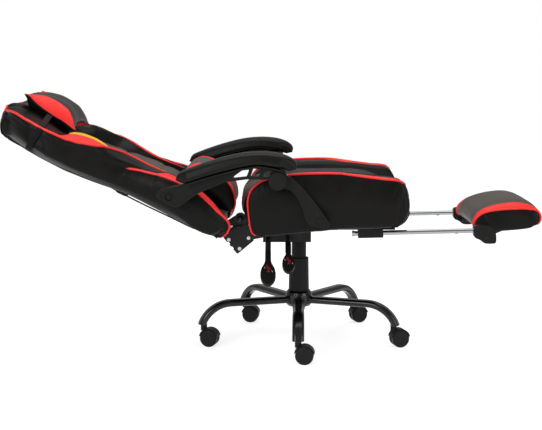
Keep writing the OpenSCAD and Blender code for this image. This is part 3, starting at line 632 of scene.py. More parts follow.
@dataclass(frozen=True)
class SewnPad:
    """A stuffed pad drawn as panels between sewn lines.

    Attributes:
        name: the piece's name.
        crown: the crown line in side view, from the pad's first end to its last.
        base: the base line in side view, in the same direction.
        rails: the lines around the pad, starting at the inner top edge and going outwards.
        place: turns side-view millimetres and a distance across into the chair's metres.
        axis: which side-view coordinate the rails' places count in.
        finishes: materials in slot order.
        side: which side of the chair it is on.
        stations: places along it.
        hold: share of the base line's two ends that its first and last places stay at.
        grooves: seams across the pad, as (place, width, depth) in millimetres.
        darts: seams over some panels only: first and last line number, and the place at each.
        bow: how far the pad's two ends draw in at the middle of its width, in millimetres.
    """

    name: str
    crown: Sequence[tuple[float, float]]
    base: Sequence[tuple[float, float]]
    rails: Sequence[Rail]
    place: Callable[[np.ndarray, np.ndarray, np.ndarray], np.ndarray]
    axis: Axis
    finishes: Sequence[Finish]
    side: Side = Side.LEFT
    stations: int = 150
    hold: float = 0.08
    grooves: Sequence[tuple[float, float, float]] = ()
    darts: Sequence[tuple[int, int, float, float]] = ()
    bow: tuple[float, float] = (0.0, 0.0)

    def lines(self) -> tuple[np.ndarray, np.ndarray, np.ndarray]:
        """Lays out the pad's stations from its first end to its last.

        The base place lags at both ends, so that the cross-sections fan out round the pad's ends.

        Returns:
            Crown places, base places and the station's place along the pad, in millimetres. Past
            the outermost crown point the last counts on by the length run.
        """
        crown = flowing(self.crown, self.stations)
        share = np.linspace(0, 1, self.stations)
        lag = np.clip((share - self.hold) / (1 - 2 * self.hold), 0, 1)
        lag = 0.85 * lag + 0.15 * (3 * lag**2 - 2 * lag**3)
        base = flowing(self.base, BASE_STEPS)
        index = 0.03 + 0.94 * lag
        spread = np.linspace(0, 1, BASE_STEPS)
        base = np.stack([np.interp(index, spread, base[:, i]) for i in (0, 1)], 1)
        along = crown[:, self.axis]
        low, high = int(np.argmin(along)), int(np.argmax(along))
        run = running_length(crown)
        where = along.copy()
        where[:low] = along[low] - (run[low] - run[:low])
        where[high + 1:] = along[high] + (run[high + 1:] - run[high])
        return crown, base, where

    def section(self) -> tuple[np.ndarray, np.ndarray, np.ndarray, np.ndarray]:
        """Works out the pad's surface.

        In each cross-section the lines are joined by cubic arcs whose direction at a line is that
        of the chord between its neighbours; each panel then swells by its puff times a parabola
        to the power 0.6, which keeps the cover full up to the seams. Grooves and darts are sunk
        in by bell curves, and the bow moves the two ends by a cube of the distance from the other.

        Returns:
            Surface places (stations, around, 3), the material slot of each face, the distance
            from the nearest sewn line and the length run along the pad.
        """
        crown, base, where = self.lines()
        spoke = crown - base
        length = np.maximum(np.linalg.norm(spoke, axis=1), 0.5)
        dip = np.zeros(self.stations)
        for place, width, depth in self.grooves:
            dip += depth * np.exp(-((where - place) / width) ** 2)
        at = np.stack([np.stack([ease(r.rise, where) * length, ease(r.reach, where)], 1)
                       for r in self.rails])
        count = len(self.rails)
        rows, panels, off_seam = [], [], []
        middle = (where[1:] + where[:-1]) / 2
        for i, rail in enumerate(self.rails):
            before, here = at[i - 1], at[i]
            there, after = at[(i + 1) % count], at[(i + 2) % count]
            chord = there - here
            gap = np.linalg.norm(chord, axis=1, keepdims=True)
            other = self.rails[(i + 1) % count]
            leave = unit((1 - rail.crease) * unit(there - before) + rail.crease * unit(chord))
            arrive = unit((1 - other.crease) * unit(after - here) + other.crease * unit(chord))
            t = np.linspace(0, 1, rail.strips, endpoint=False)[None, :, None]
            arc = ((2 * t**3 - 3 * t**2 + 1) * here[:, None] + (t**3 - 2 * t**2 + t) * (leave * gap)[:, None]
                   + (3 * t**2 - 2 * t**3) * there[:, None] + (t**3 - t**2) * (arrive * gap)[:, None])
            outward = unit(np.stack([chord[:, 1], -chord[:, 0]], 1))
            swell = np.minimum(ease(rail.puff, where), 0.3 * gap[:, 0])
            full = (4 * t[0, :, 0] * (1 - t[0, :, 0])) ** PUFF_POWER
            swell = swell[:, None] * full[None]
            none_near = np.full((self.stations, rail.strips), OFF_SEAM_MM)
            near_dart = none_near
            for first, last, low, high in self.darts:
                if first <= i < last:
                    line = low + (high - low) * (i + t[0, :, 0] - first) / (last - first)
                    gap_to = np.abs(where[:, None] - line[None])
                    near_dart = np.minimum(near_dart, gap_to)
                    swell = swell - DART_DEPTH_MM * np.exp(-((gap_to / DART_WIDTH_MM) ** 2))
            arc = arc + swell[:, :, None] * outward[:, None]
            rows.append(arc)
            own = (middle > rail.span[0]) & (middle < rail.span[1])
            panels.append(np.repeat(np.where(own, rail.finish, 0)[:, None], rail.strips, axis=1))
            start = t[0, :, 0] * gap if rail.sewn else none_near
            end = (1 - t[0, :, 0]) * gap if other.sewn else none_near
            off_seam.append(np.minimum(np.minimum(start, end), near_dart))
        flat = np.concatenate(rows, axis=1)
        off = np.concatenate(off_seam, axis=1)
        share = flat[:, :, 0] / length[:, None]
        share = share - np.clip(share, 0, 1) ** 2 * (dip / length)[:, None]
        spot = base[:, None] + share[:, :, None] * spoke[:, None]
        s = np.linspace(0, 1, self.stations)[:, None]
        centred = 1 - (flat[:, :, 1] / np.abs(flat[:, :, 1]).max()) ** 2
        spot[:, :, self.axis] += centred * (self.bow[0] * (1 - s) ** 3 + self.bow[1] * s**3)
        xyz = self.place(spot[:, :, 0], spot[:, :, 1], self.side.value * flat[:, :, 1])
        run = np.broadcast_to(running_length(crown)[:, None], off.shape)
        return xyz, np.concatenate(panels, axis=1), off, run

    def build(self) -> bpy.types.Object:
        """Makes the pad's closed mesh with one material slot for each kind of panel.

        Returns:
            The pad, with its seam distances on the mesh for the stitches.
        """
        xyz, panels, off, run = self.section()
        rows, around = off.shape
        faces = grid_faces(rows, around, True)
        piece = new_piece(self.name, xyz.reshape(-1, 3), faces.tolist(), self.finishes,
                          panels.ravel(),
                          {"from_seam": off.ravel(), "along_seam": run.ravel()})
        close_and_orient(piece)
        LOG.info("%s: %d stations, %d strips around", self.name, rows, around)
        return piece

    def rail_line(self, name: str, lift: float, low: float, high: float) -> np.ndarray:
        """Follows one line of the pad for its piping.

        Args:
            name: the line's name.
            lift: how far the cord's middle stands off the cover, in metres.
            low: place along the pad where the cord starts.
            high: place where it ends.

        Returns:
            Places along the cord's middle, in metres.
        """
        xyz, _, _, _ = self.section()
        _, _, where = self.lines()
        names = [rail.name for rail in self.rails]
        column = sum(rail.strips for rail in self.rails[:names.index(name)])
        here = xyz[:, column]
        beside = unit(xyz[:, (column + 1) % xyz.shape[1]] - xyz[:, column - 1])
        ahead = unit(np.gradient(here, axis=0))
        out = unit(np.cross(beside, ahead)) * self.side.value
        middle = xyz.mean(axis=1)
        out *= np.sign((out * (here - middle)).sum(1, keepdims=True))
        keep = (where >= low) & (where <= high)
        return (here + lift * out)[keep]


def sewn_cord(pad: SewnPad, rail: str, name: str, radius_mm: float, low: float = -1e3,
              high: float = 1e3, fade: float = 0.0) -> bpy.types.Object:
    """Lays red piping on one line of a pad, tapered away at both ends into the seam.

    Args:
        pad: the pad it is sewn into.
        rail: the line that it follows.
        name: the piece's name.
        radius_mm: the cord's radius in millimetres.
        low: place along the pad where it starts.
        high: place where it ends.
        fade: share of its length over which it sinks into the seam at its start.

    Returns:
        The cord.
    """
    line = pad.rail_line(rail, 0.3 * radius_mm * MM, low, high)
    share = np.linspace(0, 1, len(line))
    taper = np.clip(np.minimum(share, 1 - share) * len(line) / 3, 0.25, 1)
    taper *= np.clip(share / max(fade, 1e-6), 0.35, 1)
    return tube(name, line, radius_mm * MM * taper, RED_PIPING)


def settle(piece: bpy.types.Object, body: str, slot: str, fill: float | None = None,
           *nodes: str) -> bpy.types.Object:
    """Hands a finished piece over: sets it on its body and hides the CAD nodes that it replaces.

    Args:
        piece: the finished piece.
        body: the body it rides on.
        slot: its slot in the part's record; not used.
        fill: how firmly it is stuffed, or None for a piece without stuffing; not used.
        nodes: the CAD nodes that it stands for.

    Returns:
        The same piece.
    """
    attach(piece, body)
    if nodes:
        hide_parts(*nodes)
    LOG.info("%s rides on %s", piece.name, body)
    return piece


def stuff(piece: bpy.types.Object, pressure: float, cap_mm: float) -> None:
    """Blows the stuffing up with a short cloth run and keeps the result.

    The cover is pinned where it is sewn, by the distance from the nearest seam; it swells between
    the seams under pressure with no gravity, and no point may move further than the cap.

    Args:
        piece: the pad, with its seam distances on the mesh.
        pressure: inside pressure.
        cap_mm: furthest that a point may move, in millimetres.
    """
    mesh = piece.data
    count = len(mesh.vertices)
    rest = np.empty(count * 3, np.float32)
    mesh.vertices.foreach_get("co", rest)
    off = np.empty(count, np.float32)
    mesh.attributes["from_seam"].data.foreach_get("value", off)
    pins = piece.vertex_groups.new(name="sewn")
    pins.add(np.flatnonzero(off < SEWN_WITHIN_MM).tolist(), 1.0, "REPLACE")
    cloth = piece.modifiers.new("stuffing", "CLOTH")
    settings = cloth.settings
    settings.quality = 5
    settings.mass = 0.3
    settings.tension_stiffness = settings.compression_stiffness = 12
    settings.bending_stiffness = 0.6
    settings.use_pressure = True
    settings.uniform_pressure_force = pressure
    settings.effector_weights.gravity = 0
    settings.vertex_group_mass = "sewn"
    cloth.point_cache.frame_start = 1
    cloth.point_cache.frame_end = STUFFING_FRAMES
    scene = bpy.context.scene
    for number in range(1, STUFFING_FRAMES + 1):
        scene.frame_set(number)
    shaped = piece.evaluated_get(bpy.context.evaluated_depsgraph_get())
    moved = np.empty(count * 3, np.float32)
    shaped.data.vertices.foreach_get("co", moved)
    piece.modifiers.remove(cloth)
    scene.frame_set(1)
    shift = (moved - rest).reshape(-1, 3)
    far = np.linalg.norm(shift, axis=1, keepdims=True)
    shift *= np.minimum(1, cap_mm * MM / np.maximum(far, 1e-9))
    mesh.vertices.foreach_set("co", rest + shift.ravel())
    mesh.update()
    LOG.info("%s stuffed, moved up to %.1f mm", piece.name, float(min(far.max() / MM, cap_mm)))


# ---------------------------------------------------------------- seat


@dataclass(frozen=True)
class SeatSizes:
    """Outlines of the seat in side view, from the column."""

    nose_crown: tuple = (
        (-122, 372), (-141, 380), (-149, 400), (-154, 435), (-157, 473), (-153, 498), (-143, 516),
        (-122, 534), (-95, 545), (-50, 554), (0, 559), (60, 561), (110, 561), (150, 559), (184, 557),
        (215, 553), (245, 549), (281, 543), (301, 534), (312, 518), (321, 494), (325, 466), (322, 436),
        (309, 412), (289, 399))
    underside: tuple = ((-122, 373), (-80, 374), (20, 384), (150, 395), (282, 400))
    middle_crown: tuple = (
        (-126, 388), (-150, 398), (-172, 425), (-178, 455), (-173, 488), (-156, 511), (-120, 526),
        (-60, 534), (20, 537), (120, 537), (200, 534), (250, 524), (288, 504), (308, 476), (308, 450),
        (296, 418), (276, 396))
    middle_under: tuple = ((-126, 389), (-60, 388), (100, 388), (276, 395))


@dataclass(frozen=True)
class Seat:
    """The seat: a middle pad between two side pads with red wedges and piping."""

    sizes: SeatSizes = SeatSizes()

    def side_pad(self, side: Side) -> SewnPad:
        """Draws one side pad: low crest, red wedge on top, bulged outer panel.

        Returns:
            The drawn pad, not yet made.
        """
        wedge = ((-200, 0.8), (72, 0.8), (110, 9), (146, 32), (195, 48), (240, 48), (275, 28),
                 (300, 9), (312, 0.6))
        edge = ((-260, 246), (-150, 249), (-100, 250), (296, 250), (306, 243), (316, 222), (326, 190),
                (338, 160), (350, 153), (420, 153))
        wedge_reach = [(p, ease(edge, np.array([p]))[0] - w) for p, w in wedge]
        rails = (
            Rail("inner_top", ((-200, 0.93), (-100, 0.9), (250, 0.9), (300, 0.92)), ((0, 151),), 4,
                 ((0, 3),), 0, 0.2, True),
            Rail("crest", ((-200, 0.985), (60, 0.965), (110, 0.945), (200, 0.93), (280, 0.96),
                           (312, 0.985)), ((-200, 190), (296, 190), (312, 180), (326, 164),
                                           (340, 152.2), (420, 152)), 5),
            Rail("wedge_edge", ((-200, 0.99), (60, 0.985), (120, 0.972), (200, 0.955), (260, 0.968),
                                (295, 0.985), (315, 0.985)), wedge_reach, 5,
                 ((60, 0), (150, 3), (280, 3), (310, 0)), 1, 0.0, True, (78, 310)),
            Rail("top_piping", ((-200, 0.99), (60, 0.99), (110, 0.985), (150, 0.965), (195, 0.945),
                                (240, 0.945), (279, 0.965), (300, 0.98), (330, 0.99)), edge, 5,
                 ((0, 3), (320, 2)), 0, 0.5, True),
            Rail("shoulder", ((-200, 0.9), (280, 0.9), (318, 0.985), (420, 0.985)),
                 ((-260, 251), (-150, 255), (290, 255), (312, 247), (330, 222), (420, 215)), 5),
            Rail("side_upper", ((-200, 0.72), (280, 0.72), (318, 0.88), (420, 0.88)),
                 ((-260, 252), (-150, 257), (300, 258), (330, 252), (420, 248)), 7),
            Rail("side_lower", ((-200, 0.25), (300, 0.25)), ((-260, 252), (-150, 256), (320, 257),
                                                            (400, 250)), 5),
            Rail("lower_edge", ((-200, 0.02),), ((-260, 240), (-150, 247), (320, 248), (400, 236)), 4,
                 ((0, 1),), 2, 0.4, True),
            Rail("under_outer", ((-200, 0.04), (-60, 0.07), (60, 0.03), (300, -0.05)), ((0, 224),), 5, (
                (0, 0),), 2, 0.3),
            Rail("under_inner", ((-200, 0.04), (-60, 0.07), (60, 0.03), (300, -0.05)), ((0, 152),), 5, (
                (0, 0),), 2, 0.8),
        )
        return SewnPad(f"seat_side_pad_{side.word}", self.sizes.nose_crown, self.sizes.underside,
                       rails, DATUM.seat, Axis.FORWARD, (BLACK_COVER, RED_COVER, LINING), side, 170, 0.14)

    def middle_pad(self) -> SewnPad:
        """Draws the middle pad: a broad, slightly crowned cushion, with a painted grey-brown sheen on its
        rear slope.

        Returns:
            The drawn pad, not yet made.
        """
        # The top panels between these places carry the painted grey-brown sheen of the upward-facing rear
        # slope
        slope = (-300, -112)
        rails = (
            Rail("right_edge", ((0, 0.9),), ((0, -149),), 8, ((0, 2),), 2, 0.3, True, slope),
            Rail("right_crown", ((0, 0.985),), ((0, -80),), 8, ((0, 0),), 2, span=slope),
            Rail("middle", ((0, 1.0),), ((0, 0),), 8, ((0, 0),), 2, span=slope),
            Rail("left_crown", ((0, 0.985),), ((0, 80),), 8, ((0, 2),), 2, span=slope),
            Rail("left_edge", ((0, 0.9),), ((0, 149),), 6, ((0, 0),), 0, 0.3, True),
            Rail("left_under", ((0, 0.0),), ((0, 149),), 8, ((0, 0),), 1, 0.8),
            Rail("right_under", ((0, 0.0),), ((0, -149),), 6, ((0, 0),), 0, 0.8),
        )
        return SewnPad("seat_middle_pad", self.sizes.middle_crown, self.sizes.middle_under, rails,
                       DATUM.seat, Axis.FORWARD, (BLACK_COVER, LINING, PAINTED_SHEEN_COVER), Side.LEFT, 150, 0.12)

    def build(self) -> None:
        """Makes the pads and their piping and sets them on the seat."""
        middle = self.middle_pad().build()
        stuff(middle, 3.0, 8)
        settle(middle, "seat", "black_upholstery", 0.8, "seat_cushion")
        for side in Side:
            pad = self.side_pad(side)
            piece = pad.build()
            stuff(piece, 2.0, 5)
            settle(piece, "seat", "black_upholstery", 0.85, f"seat_bolster_{side.word}")
            cord = sewn_cord(pad, "top_piping", f"seat_piping_{side.word}", 3.8, -300, 314)
            settle(cord, "seat", "black_upholstery")


# ---------------------------------------------------------------- backrest


@dataclass(frozen=True)
class BackSizes:
    """Outlines of the backrest along its own lean, (forward, up along) in millimetres."""

    wing_crown: tuple = (
        (6, -3), (20, -11), (36, -15), (54, -12), (68, 0), (77, 18), (87, 42), (98, 68), (109, 109),
        (112, 145), (112, 175), (109, 210), (105, 245), (101, 285), (102, 320), (104, 360), (104, 410),
        (105, 470), (103, 500), (98, 525), (88, 548), (80, 575), (78, 604), (79, 650), (79, 700),
        (77, 722), (69, 740), (50, 748), (24, 745), (4, 736), (-4, 727))
    wing_rear: tuple = ((4, 1), (3, 90), (3, 200), (1, 310), (-8, 405), (-15, 500), (-17, 580),
                        (-15, 650), (-11, 705), (-6, 722))
    outline: tuple = ((-40, 214), (-14, 230), (4, 249), (50, 257), (110, 255), (190, 242), (270, 229),
                      (330, 222), (400, 230), (470, 252), (530, 272), (590, 278), (645, 270), (690, 243),
                      (720, 219), (742, 196), (780, 186))
    middle_crown: tuple = (
        (-13, 4), (8, -4), (30, -4), (50, 12), (64, 55), (74, 110), (80, 160), (86, 205), (88, 233),
        (87, 261), (84, 285), (78, 340), (72, 389), (66, 431), (63, 468), (63, 505), (66, 540), (73, 570),
        (80, 600), (85, 640), (87, 690), (87, 714), (83, 733), (73, 746), (54, 752), (34, 751),
        (12, 742), (-2, 724))
    middle_rear: tuple = ((-13, 8), (-19, 60), (-16, 140), (-14, 230), (-19, 310), (-25, 400),
                          (-24, 520), (-21, 620), (-17, 690), (-8, 718))
    head_crown: tuple = ((99, 529), (110, 538), (126, 552), (140, 574), (146, 600), (149, 630),
                         (148, 655), (144, 678), (137, 697), (129, 716))
    head_under: tuple = ((98, 529), (88, 545), (84, 600), (85, 640), (86, 676), (92, 700), (108, 712),
                         (127, 716))
    lumbar_crown: tuple = (
        (80, 1), (100, -5), (118, 0), (134, 10), (150, 26), (162, 44), (172, 68), (179, 95),
        (181, 120), (178, 142), (170, 161), (157, 174), (140, 181), (118, 184), (96, 183))
    lumbar_rear: tuple = ((78, 3), (74, 20), (74, 60), (76, 110), (84, 160), (94, 181))
    head_strap_half: tuple = (
        (104, 134, 622), (99, 158, 620), (91, 205, 616), (84, 245, 612), (75, 272, 610),
        (60, 280, 612), (32, 281, 616), (10, 274, 618), (-5, 250, 619), (-15, 180, 620),
        (-21, 90, 620), (-23, 0, 620))
    rear_strap: tuple = ((-31, 396), (-36, 352), (-38, 260), (-37, 160), (-36, 78), (-27, 59))
    head_strap_width: float = 19
    rear_strap_width: float = 22
    strap_thickness: float = 1.6


@dataclass(frozen=True)
class Backrest:
    """The backrest: a middle pad with cross seams between two wings, and its cushions."""

    sizes: BackSizes = BackSizes()

    def wing(self, side: Side) -> SewnPad:
        """Draws one wing, from its hip lobe to the head.

        Returns:
            The drawn pad, not yet made.
        """
        outline = self.sizes.outline

        def inside(gap: Knots) -> list[tuple[float, float]]:
            """Sets a line in from the wing's outline by a gap that varies along it.

            Args:
                gap: the gap in millimetres, by place.

            Returns:
                The line's distance from the middle of the chair, by place.
            """
            places = sorted({p for p, _ in outline} | {p for p, _ in gap})
            at = np.array(places, float)
            return list(zip(places, ease(outline, at) - ease(gap, at)))

        shoulder = ((-60, 142.6), (290, 142.6), (330, 148), (355, 158), (383, 176), (404, 192),
                    (430, 215), (450, 234), (480, 255), (511, 265), (548, 269), (604, 271), (660, 258),
                    (700, 230), (716, 215), (730, 200), (739, 184), (745, 164), (749, 142.6), (820, 142.6))
        red_line = ((-60, 142.3), (290, 142.3), (330, 147), (355, 156), (383, 174), (404, 189),
                    (416, 199), (421, 194), (430, 186), (445, 177), (466, 170), (495, 178), (522, 196),
                    (536, 214), (547, 236), (556, 258), (563, 268), (604, 270.5), (660, 257.5),
                    (700, 229.5), (716, 214.5), (730, 199.5), (739, 183.5), (745, 163.5), (749, 142.3))
        yellow_line = ((-60, 142), (290, 142), (330, 146), (355, 154), (383, 172), (404, 186),
                       (416, 194), (421, 189), (430, 178), (445, 165), (466, 157), (495, 162),
                       (520, 178), (531, 192), (535, 212), (547, 235.5), (556, 257.5), (563, 267.5),
                       (604, 270), (660, 257), (700, 229), (716, 214), (730, 199), (739, 183), (745, 163),
                       (749, 142))
        wedge_gap = ((-60, 9.5), (10, 10), (20, 14), (42, 21), (81, 31), (120, 41), (160, 50),
                     (200, 60), (222, 78), (230, 72), (240, 50), (248, 26), (253, 10.5), (345, 8.4),
                     (420, 1.6), (600, 0.4), (820, 0.4))
        crest = ((-60, 0.85), (69, 0.86), (110, 0.885), (150, 0.92), (200, 0.955), (250, 0.97),
                 (290, 0.985), (320, 0.985), (355, 0.985), (383, 0.99))
        rails = (
            Rail("inner_seam", ((-60, 0.9), (60, 0.62), (130, 0.7), (200, 0.79), (250, 0.84),
                                (285, 0.83), (340, 0.76), (389, 0.71), (431, 0.67), (468, 0.65),
                                (505, 0.66), (540, 0.76), (570, 0.9), (600, 1.0), (650, 1.04),
                                (700, 1.05), (742, 1.0), (790, 1.0)), ((0, 141),), 6, ((0, 0),), 0, 0.3,
                 True),
            Rail("yellow_edge", crest + ((430, 1.0), (500, 1.0), (540, 0.985), (566, 0.97),
                                         (604, 0.965), (690, 0.965), (730, 0.93), (749, 0.97)),
                 yellow_line, 3, ((0, 0),), 2, 0.0, False, (421, 536)),
            Rail("red_edge", crest + ((430, 0.975), (466, 0.962), (510, 0.955), (530, 0.955), (552, 0.94),
                                      (566, 0.96), (604, 0.965), (690, 0.965), (730, 0.93),
                                      (749, 0.97)), red_line, 6,
                 ((400, 0), (440, 2.5), (520, 2.5), (560, 0)), 1, 0.0, True, (416, 562)),
            Rail("shoulder_piping", crest + ((400, 0.98), (430, 0.95), (450, 0.9), (480, 0.855),
                                             (505, 0.82), (530, 0.83), (548, 0.88), (575, 0.95),
                                             (604, 0.965), (690, 0.965), (730, 0.93), (749, 0.97)),
                 shoulder, 6, ((-60, 0), (290, 1), (330, 2), (420, 2)), 0, 0.5, True),
            Rail("lobe_shoulder", ((-60, 0.975), (60, 0.98), (200, 0.99), (250, 0.97), (300, 0.94),
                                   (345, 0.88), (420, 0.8), (505, 0.7), (548, 0.7), (604, 0.76),
                                   (700, 0.8), (742, 0.86), (790, 0.95)),
                 inside(((-60, 20), (20, 24), (81, 42), (120, 52), (160, 61), (200, 71), (225, 84),
                         (245, 60), (262, 36), (300, 24), (345, 15), (420, 5), (505, 2), (690, 2),
                         (715, 3), (730, 6), (742, 20))), 6, ((-60, 1), (345, 2), (400, 0)), 0),
            Rail("lobe_red_edge", ((-60, 0.985), (60, 1.0), (200, 1.0), (222, 0.985), (240, 0.97),
                                   (253, 0.94), (304, 0.86), (345, 0.72), (400, 0.64), (600, 0.58),
                                   (742, 0.7)), inside(wedge_gap), 5,
                 ((0, 0), (60, 1), (150, 2), (262, 0)), 1, 0.0, True, (0, 256)),
            Rail("lobe_piping", ((-60, 0.97), (12, 0.955), (43, 0.915), (79, 0.91), (124, 0.925),
                                 (182, 0.925), (217, 0.92), (249, 0.91), (270, 0.88), (297, 0.83),
                                 (323, 0.75), (346, 0.685), (400, 0.61), (600, 0.56), (742, 0.68)),
                 inside(((-60, 9), (300, 10), (345, 8), (420, 1.4), (600, 0), (690, 0), (742, 4))), 7,
                 ((-60, 3), (335, 3), (360, 0)), 0),
            Rail("side_middle", ((-60, 0.5), (600, 0.4), (742, 0.45)),
                 inside(((-60, 2), (100, -1), (690, -1), (742, 1))), 6, ((0, 1),), 0),
            Rail("rear_edge", ((-60, 0.1), (30, 0.02), (68, 0.02), (104, 0.08), (139, 0.12), (210, 0.16),
                               (304, 0.14), (400, 0.14), (493, 0.17), (560, 0.24), (622, 0.29),
                               (690, 0.28), (740, 0.2), (790, 0.1)),
                 inside(((-60, 10), (600, 5), (790, 6))), 6, ((0, 1),), 3, 0.45, True),
            Rail("rear_shoulder", ((-60, 0.0), (300, 0.02), (622, 0.1), (790, 0.1)),
                 inside(((-60, 40), (330, 30), (600, 60), (720, 40), (790, 30))), 5, ((0, 0),), 3),
            Rail("rear_inner", ((-60, 0.0),), ((0, 141),), 6, ((0, 0),), 0, 0.8),
        )
        return SewnPad(f"back_wing_pad_{side.word}", self.sizes.wing_crown, self.sizes.wing_rear,
                       rails, DATUM.back, Axis.UPWARD, (BLACK_COVER, RED_COVER, YELLOW_COVER, LINING), side,
                       230, 0.07, darts=((6, 8, 343, 355), (3, 8, 607, 579)))

    def middle_pad(self) -> SewnPad:
        """Draws the middle pad with its cross seams, its front below the neck carrying a painted grey-brown
        sheen, and its rounded rear cover.

        Returns:
            The drawn pad, not yet made.
        """
        # The front panels between these places carry the painted grey-brown sheen of the upward-facing strip
        below_neck = (-200, 502)
        rear_edge = ((-60, 0.0), (40, 0.04), (104, 0.13), (175, 0.19), (310, 0.2), (374, 0.18),
                     (439, 0.12), (505, 0.05), (560, 0.0), (800, 0.0))
        rails = (
            Rail("right_edge", ((0, 0.97),), ((0, -139.5),), 8, ((0, 2),), 2, 0.3, True, below_neck),
            Rail("right_crown", ((0, 1.0),), ((0, -75),), 8, ((0, 0),), 2, span=below_neck),
            Rail("middle", ((0, 1.01),), ((0, 0),), 8, ((0, 0),), 2, span=below_neck),
            Rail("left_crown", ((0, 1.0),), ((0, 75),), 8, ((0, 2),), 2, span=below_neck),
            Rail("left_edge", ((0, 0.97),), ((0, 139.5),), 5, ((0, 0),), 0, 0.3, True),
            Rail("left_rear", rear_edge, ((0, 139.5),), 7, ((0, 0),), 1, 0.8),
            Rail("rear_middle", ((0, 0.0),), ((0, 0),), 7, ((0, 0),), 1),
            Rail("right_rear", rear_edge, ((0, -139.5),), 5, ((0, 0),), 0, 0.8),
        )
        return SewnPad("back_middle_pad", self.sizes.middle_crown, self.sizes.middle_rear, rails,
                       DATUM.back, Axis.UPWARD, (BLACK_COVER, LINING, PAINTED_SHEEN_COVER), Side.LEFT, 200, 0.07,
                       ((376, 5, 5), (252, 5, 5), (500, 5, 4)))

    def headrest(self) -> SewnPad:
        """Draws the head cushion: dark dome with a painted brown sheen in its colour, between two red
        cheeks, pointed corners.

        Returns:
            The drawn pad, not yet made.
        """
        cheek = ((530, 0.5), (545, 0.86), (575, 0.96), (652, 0.98), (690, 0.95), (716, 0.7))
        rim = ((530, 0.5), (540, 0.4), (557, 0.37), (593, 0.37), (631, 0.42), (668, 0.55), (696, 0.72),
               (716, 0.9))
        low = ((530, 0.2), (557, 0.05), (650, 0.03), (689, 0.2), (703, 0.36), (716, 0.6))
        rim_reach = ((530, 141), (560, 138), (620, 137), (680, 138), (716, 141))
        cheek_reach = ((530, 139), (545, 128), (570, 112), (610, 100), (660, 98), (690, 103), (716, 114))
        low_reach = ((530, 139), (570, 112), (620, 108), (680, 112), (716, 138))
        rails = (
            Rail("right_rim", rim, [(p, -v) for p, v in rim_reach], 8, ((0, 2),), 1, 0.9, True),
            Rail("right_cheek", cheek, [(p, -v) for p, v in cheek_reach], 8, ((0, 2),), 2, 0.25, True),
            Rail("crown", ((0, 1.0),), ((0, 0),), 8, ((0, 2),), 2),
            Rail("left_cheek", cheek, cheek_reach, 8, ((0, 2),), 1, 0.25, True),
            Rail("left_rim", rim, rim_reach, 8, ((0, 3),), 0, 0.9, True),
            Rail("left_low", low, low_reach, 8),
            Rail("right_low", low, [(p, -v) for p, v in low_reach], 8, ((0, 3),)),
        )
        return SewnPad("headrest_pillow_pad", self.sizes.head_crown, self.sizes.head_under, rails,
                       DATUM.back, Axis.UPWARD, (BLACK_COVER, RED_COVER, HEAD_DOME_SHEEN_COVER), Side.LEFT,
                       60, 0.02, bow=(24.0, -8.0))

    def lumbar(self) -> SewnPad:
        """Draws the lumbar cushion: a full bolster with a piped rim, its front panel carrying a painted
        grey-brown sheen.

        Returns:
            The drawn pad, not yet made.
        """
        rim = ((-10, 0.6), (0, 0.86), (30, 0.93), (100, 0.95), (150, 0.93), (184, 0.8))
        cheek = ((-10, 0.88), (30, 0.97), (150, 0.97), (184, 0.92))
        rails = (
            Rail("right_rim", rim, ((0, -138),), 7, ((0, 1.5),), 1, 0.7, True),
            Rail("right_cheek", cheek, ((0, -110),), 12, ((0, 1.5),), 2, 0.1, True),
            Rail("left_cheek", cheek, ((0, 110),), 7, ((0, 1.5),), 1, 0.1, True),
            Rail("left_rim", rim, ((0, 138),), 6, ((0, 2),), 0, 0.7, True),
            Rail("left_rear", ((0, 0.06),), ((0, 132),), 8),
            Rail("right_rear", ((0, 0.06),), ((0, -132),), 6, ((0, 2),)),
        )
        return SewnPad("lumbar_pillow_pad", self.sizes.lumbar_crown, self.sizes.lumbar_rear, rails,
                       DATUM.back, Axis.UPWARD, (BLACK_COVER, RED_COVER, PAINTED_SHEEN_COVER), Side.LEFT,
                       90, 0.1, bow=(-4.0, 4.0))

    def straps(self) -> None:
        """Lays the elastic bands: round the head, and down the rear with its buckle."""
        thick = self.sizes.strap_thickness * MM
        half = np.array(self.sizes.head_strap_half, float)
        loop = np.vstack([half, (half * np.array([1, -1, 1]))[-2::-1]])
        loop = flowing([tuple(p) for p in loop], 120)
        rise = loop[:, 2]
        line = DATUM.back(loop[:, 0], rise, loop[:, 1])
        centre = DATUM.back(np.full(len(loop), 30.0), rise, np.zeros(len(loop)))
        strap = band("headrest_strap_band", line, unit(line - centre),
                     self.sizes.head_strap_width * MM, thick, WEBBING)
        settle(strap, "backrest", "strap_webbing", None, "headrest_strap")
        fall = flowing(self.sizes.rear_strap, 60)
        line = DATUM.back(fall[:, 0], fall[:, 1], np.zeros(60))
        out = DATUM.back(fall[:, 0] - 5, fall[:, 1], np.zeros(60)) - line
        strap = band("back_strap_band", line, unit(out), self.sizes.rear_strap_width * MM, thick,
                     GREY_WEBBING)
        settle(strap, "backrest", "strap_webbing", None, "back_strap")

    def yielding(self, piece: bpy.types.Object) -> None:
        """Gives the lumbar cushion, or its piping, its own copy of its mesh.

        Args:
            piece: the cushion, or its piping.
        """
        foot, top = DATUM.back(np.array([90.0, 90.0]), np.array([0.0, 184.0]), np.zeros(2))
        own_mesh(piece)

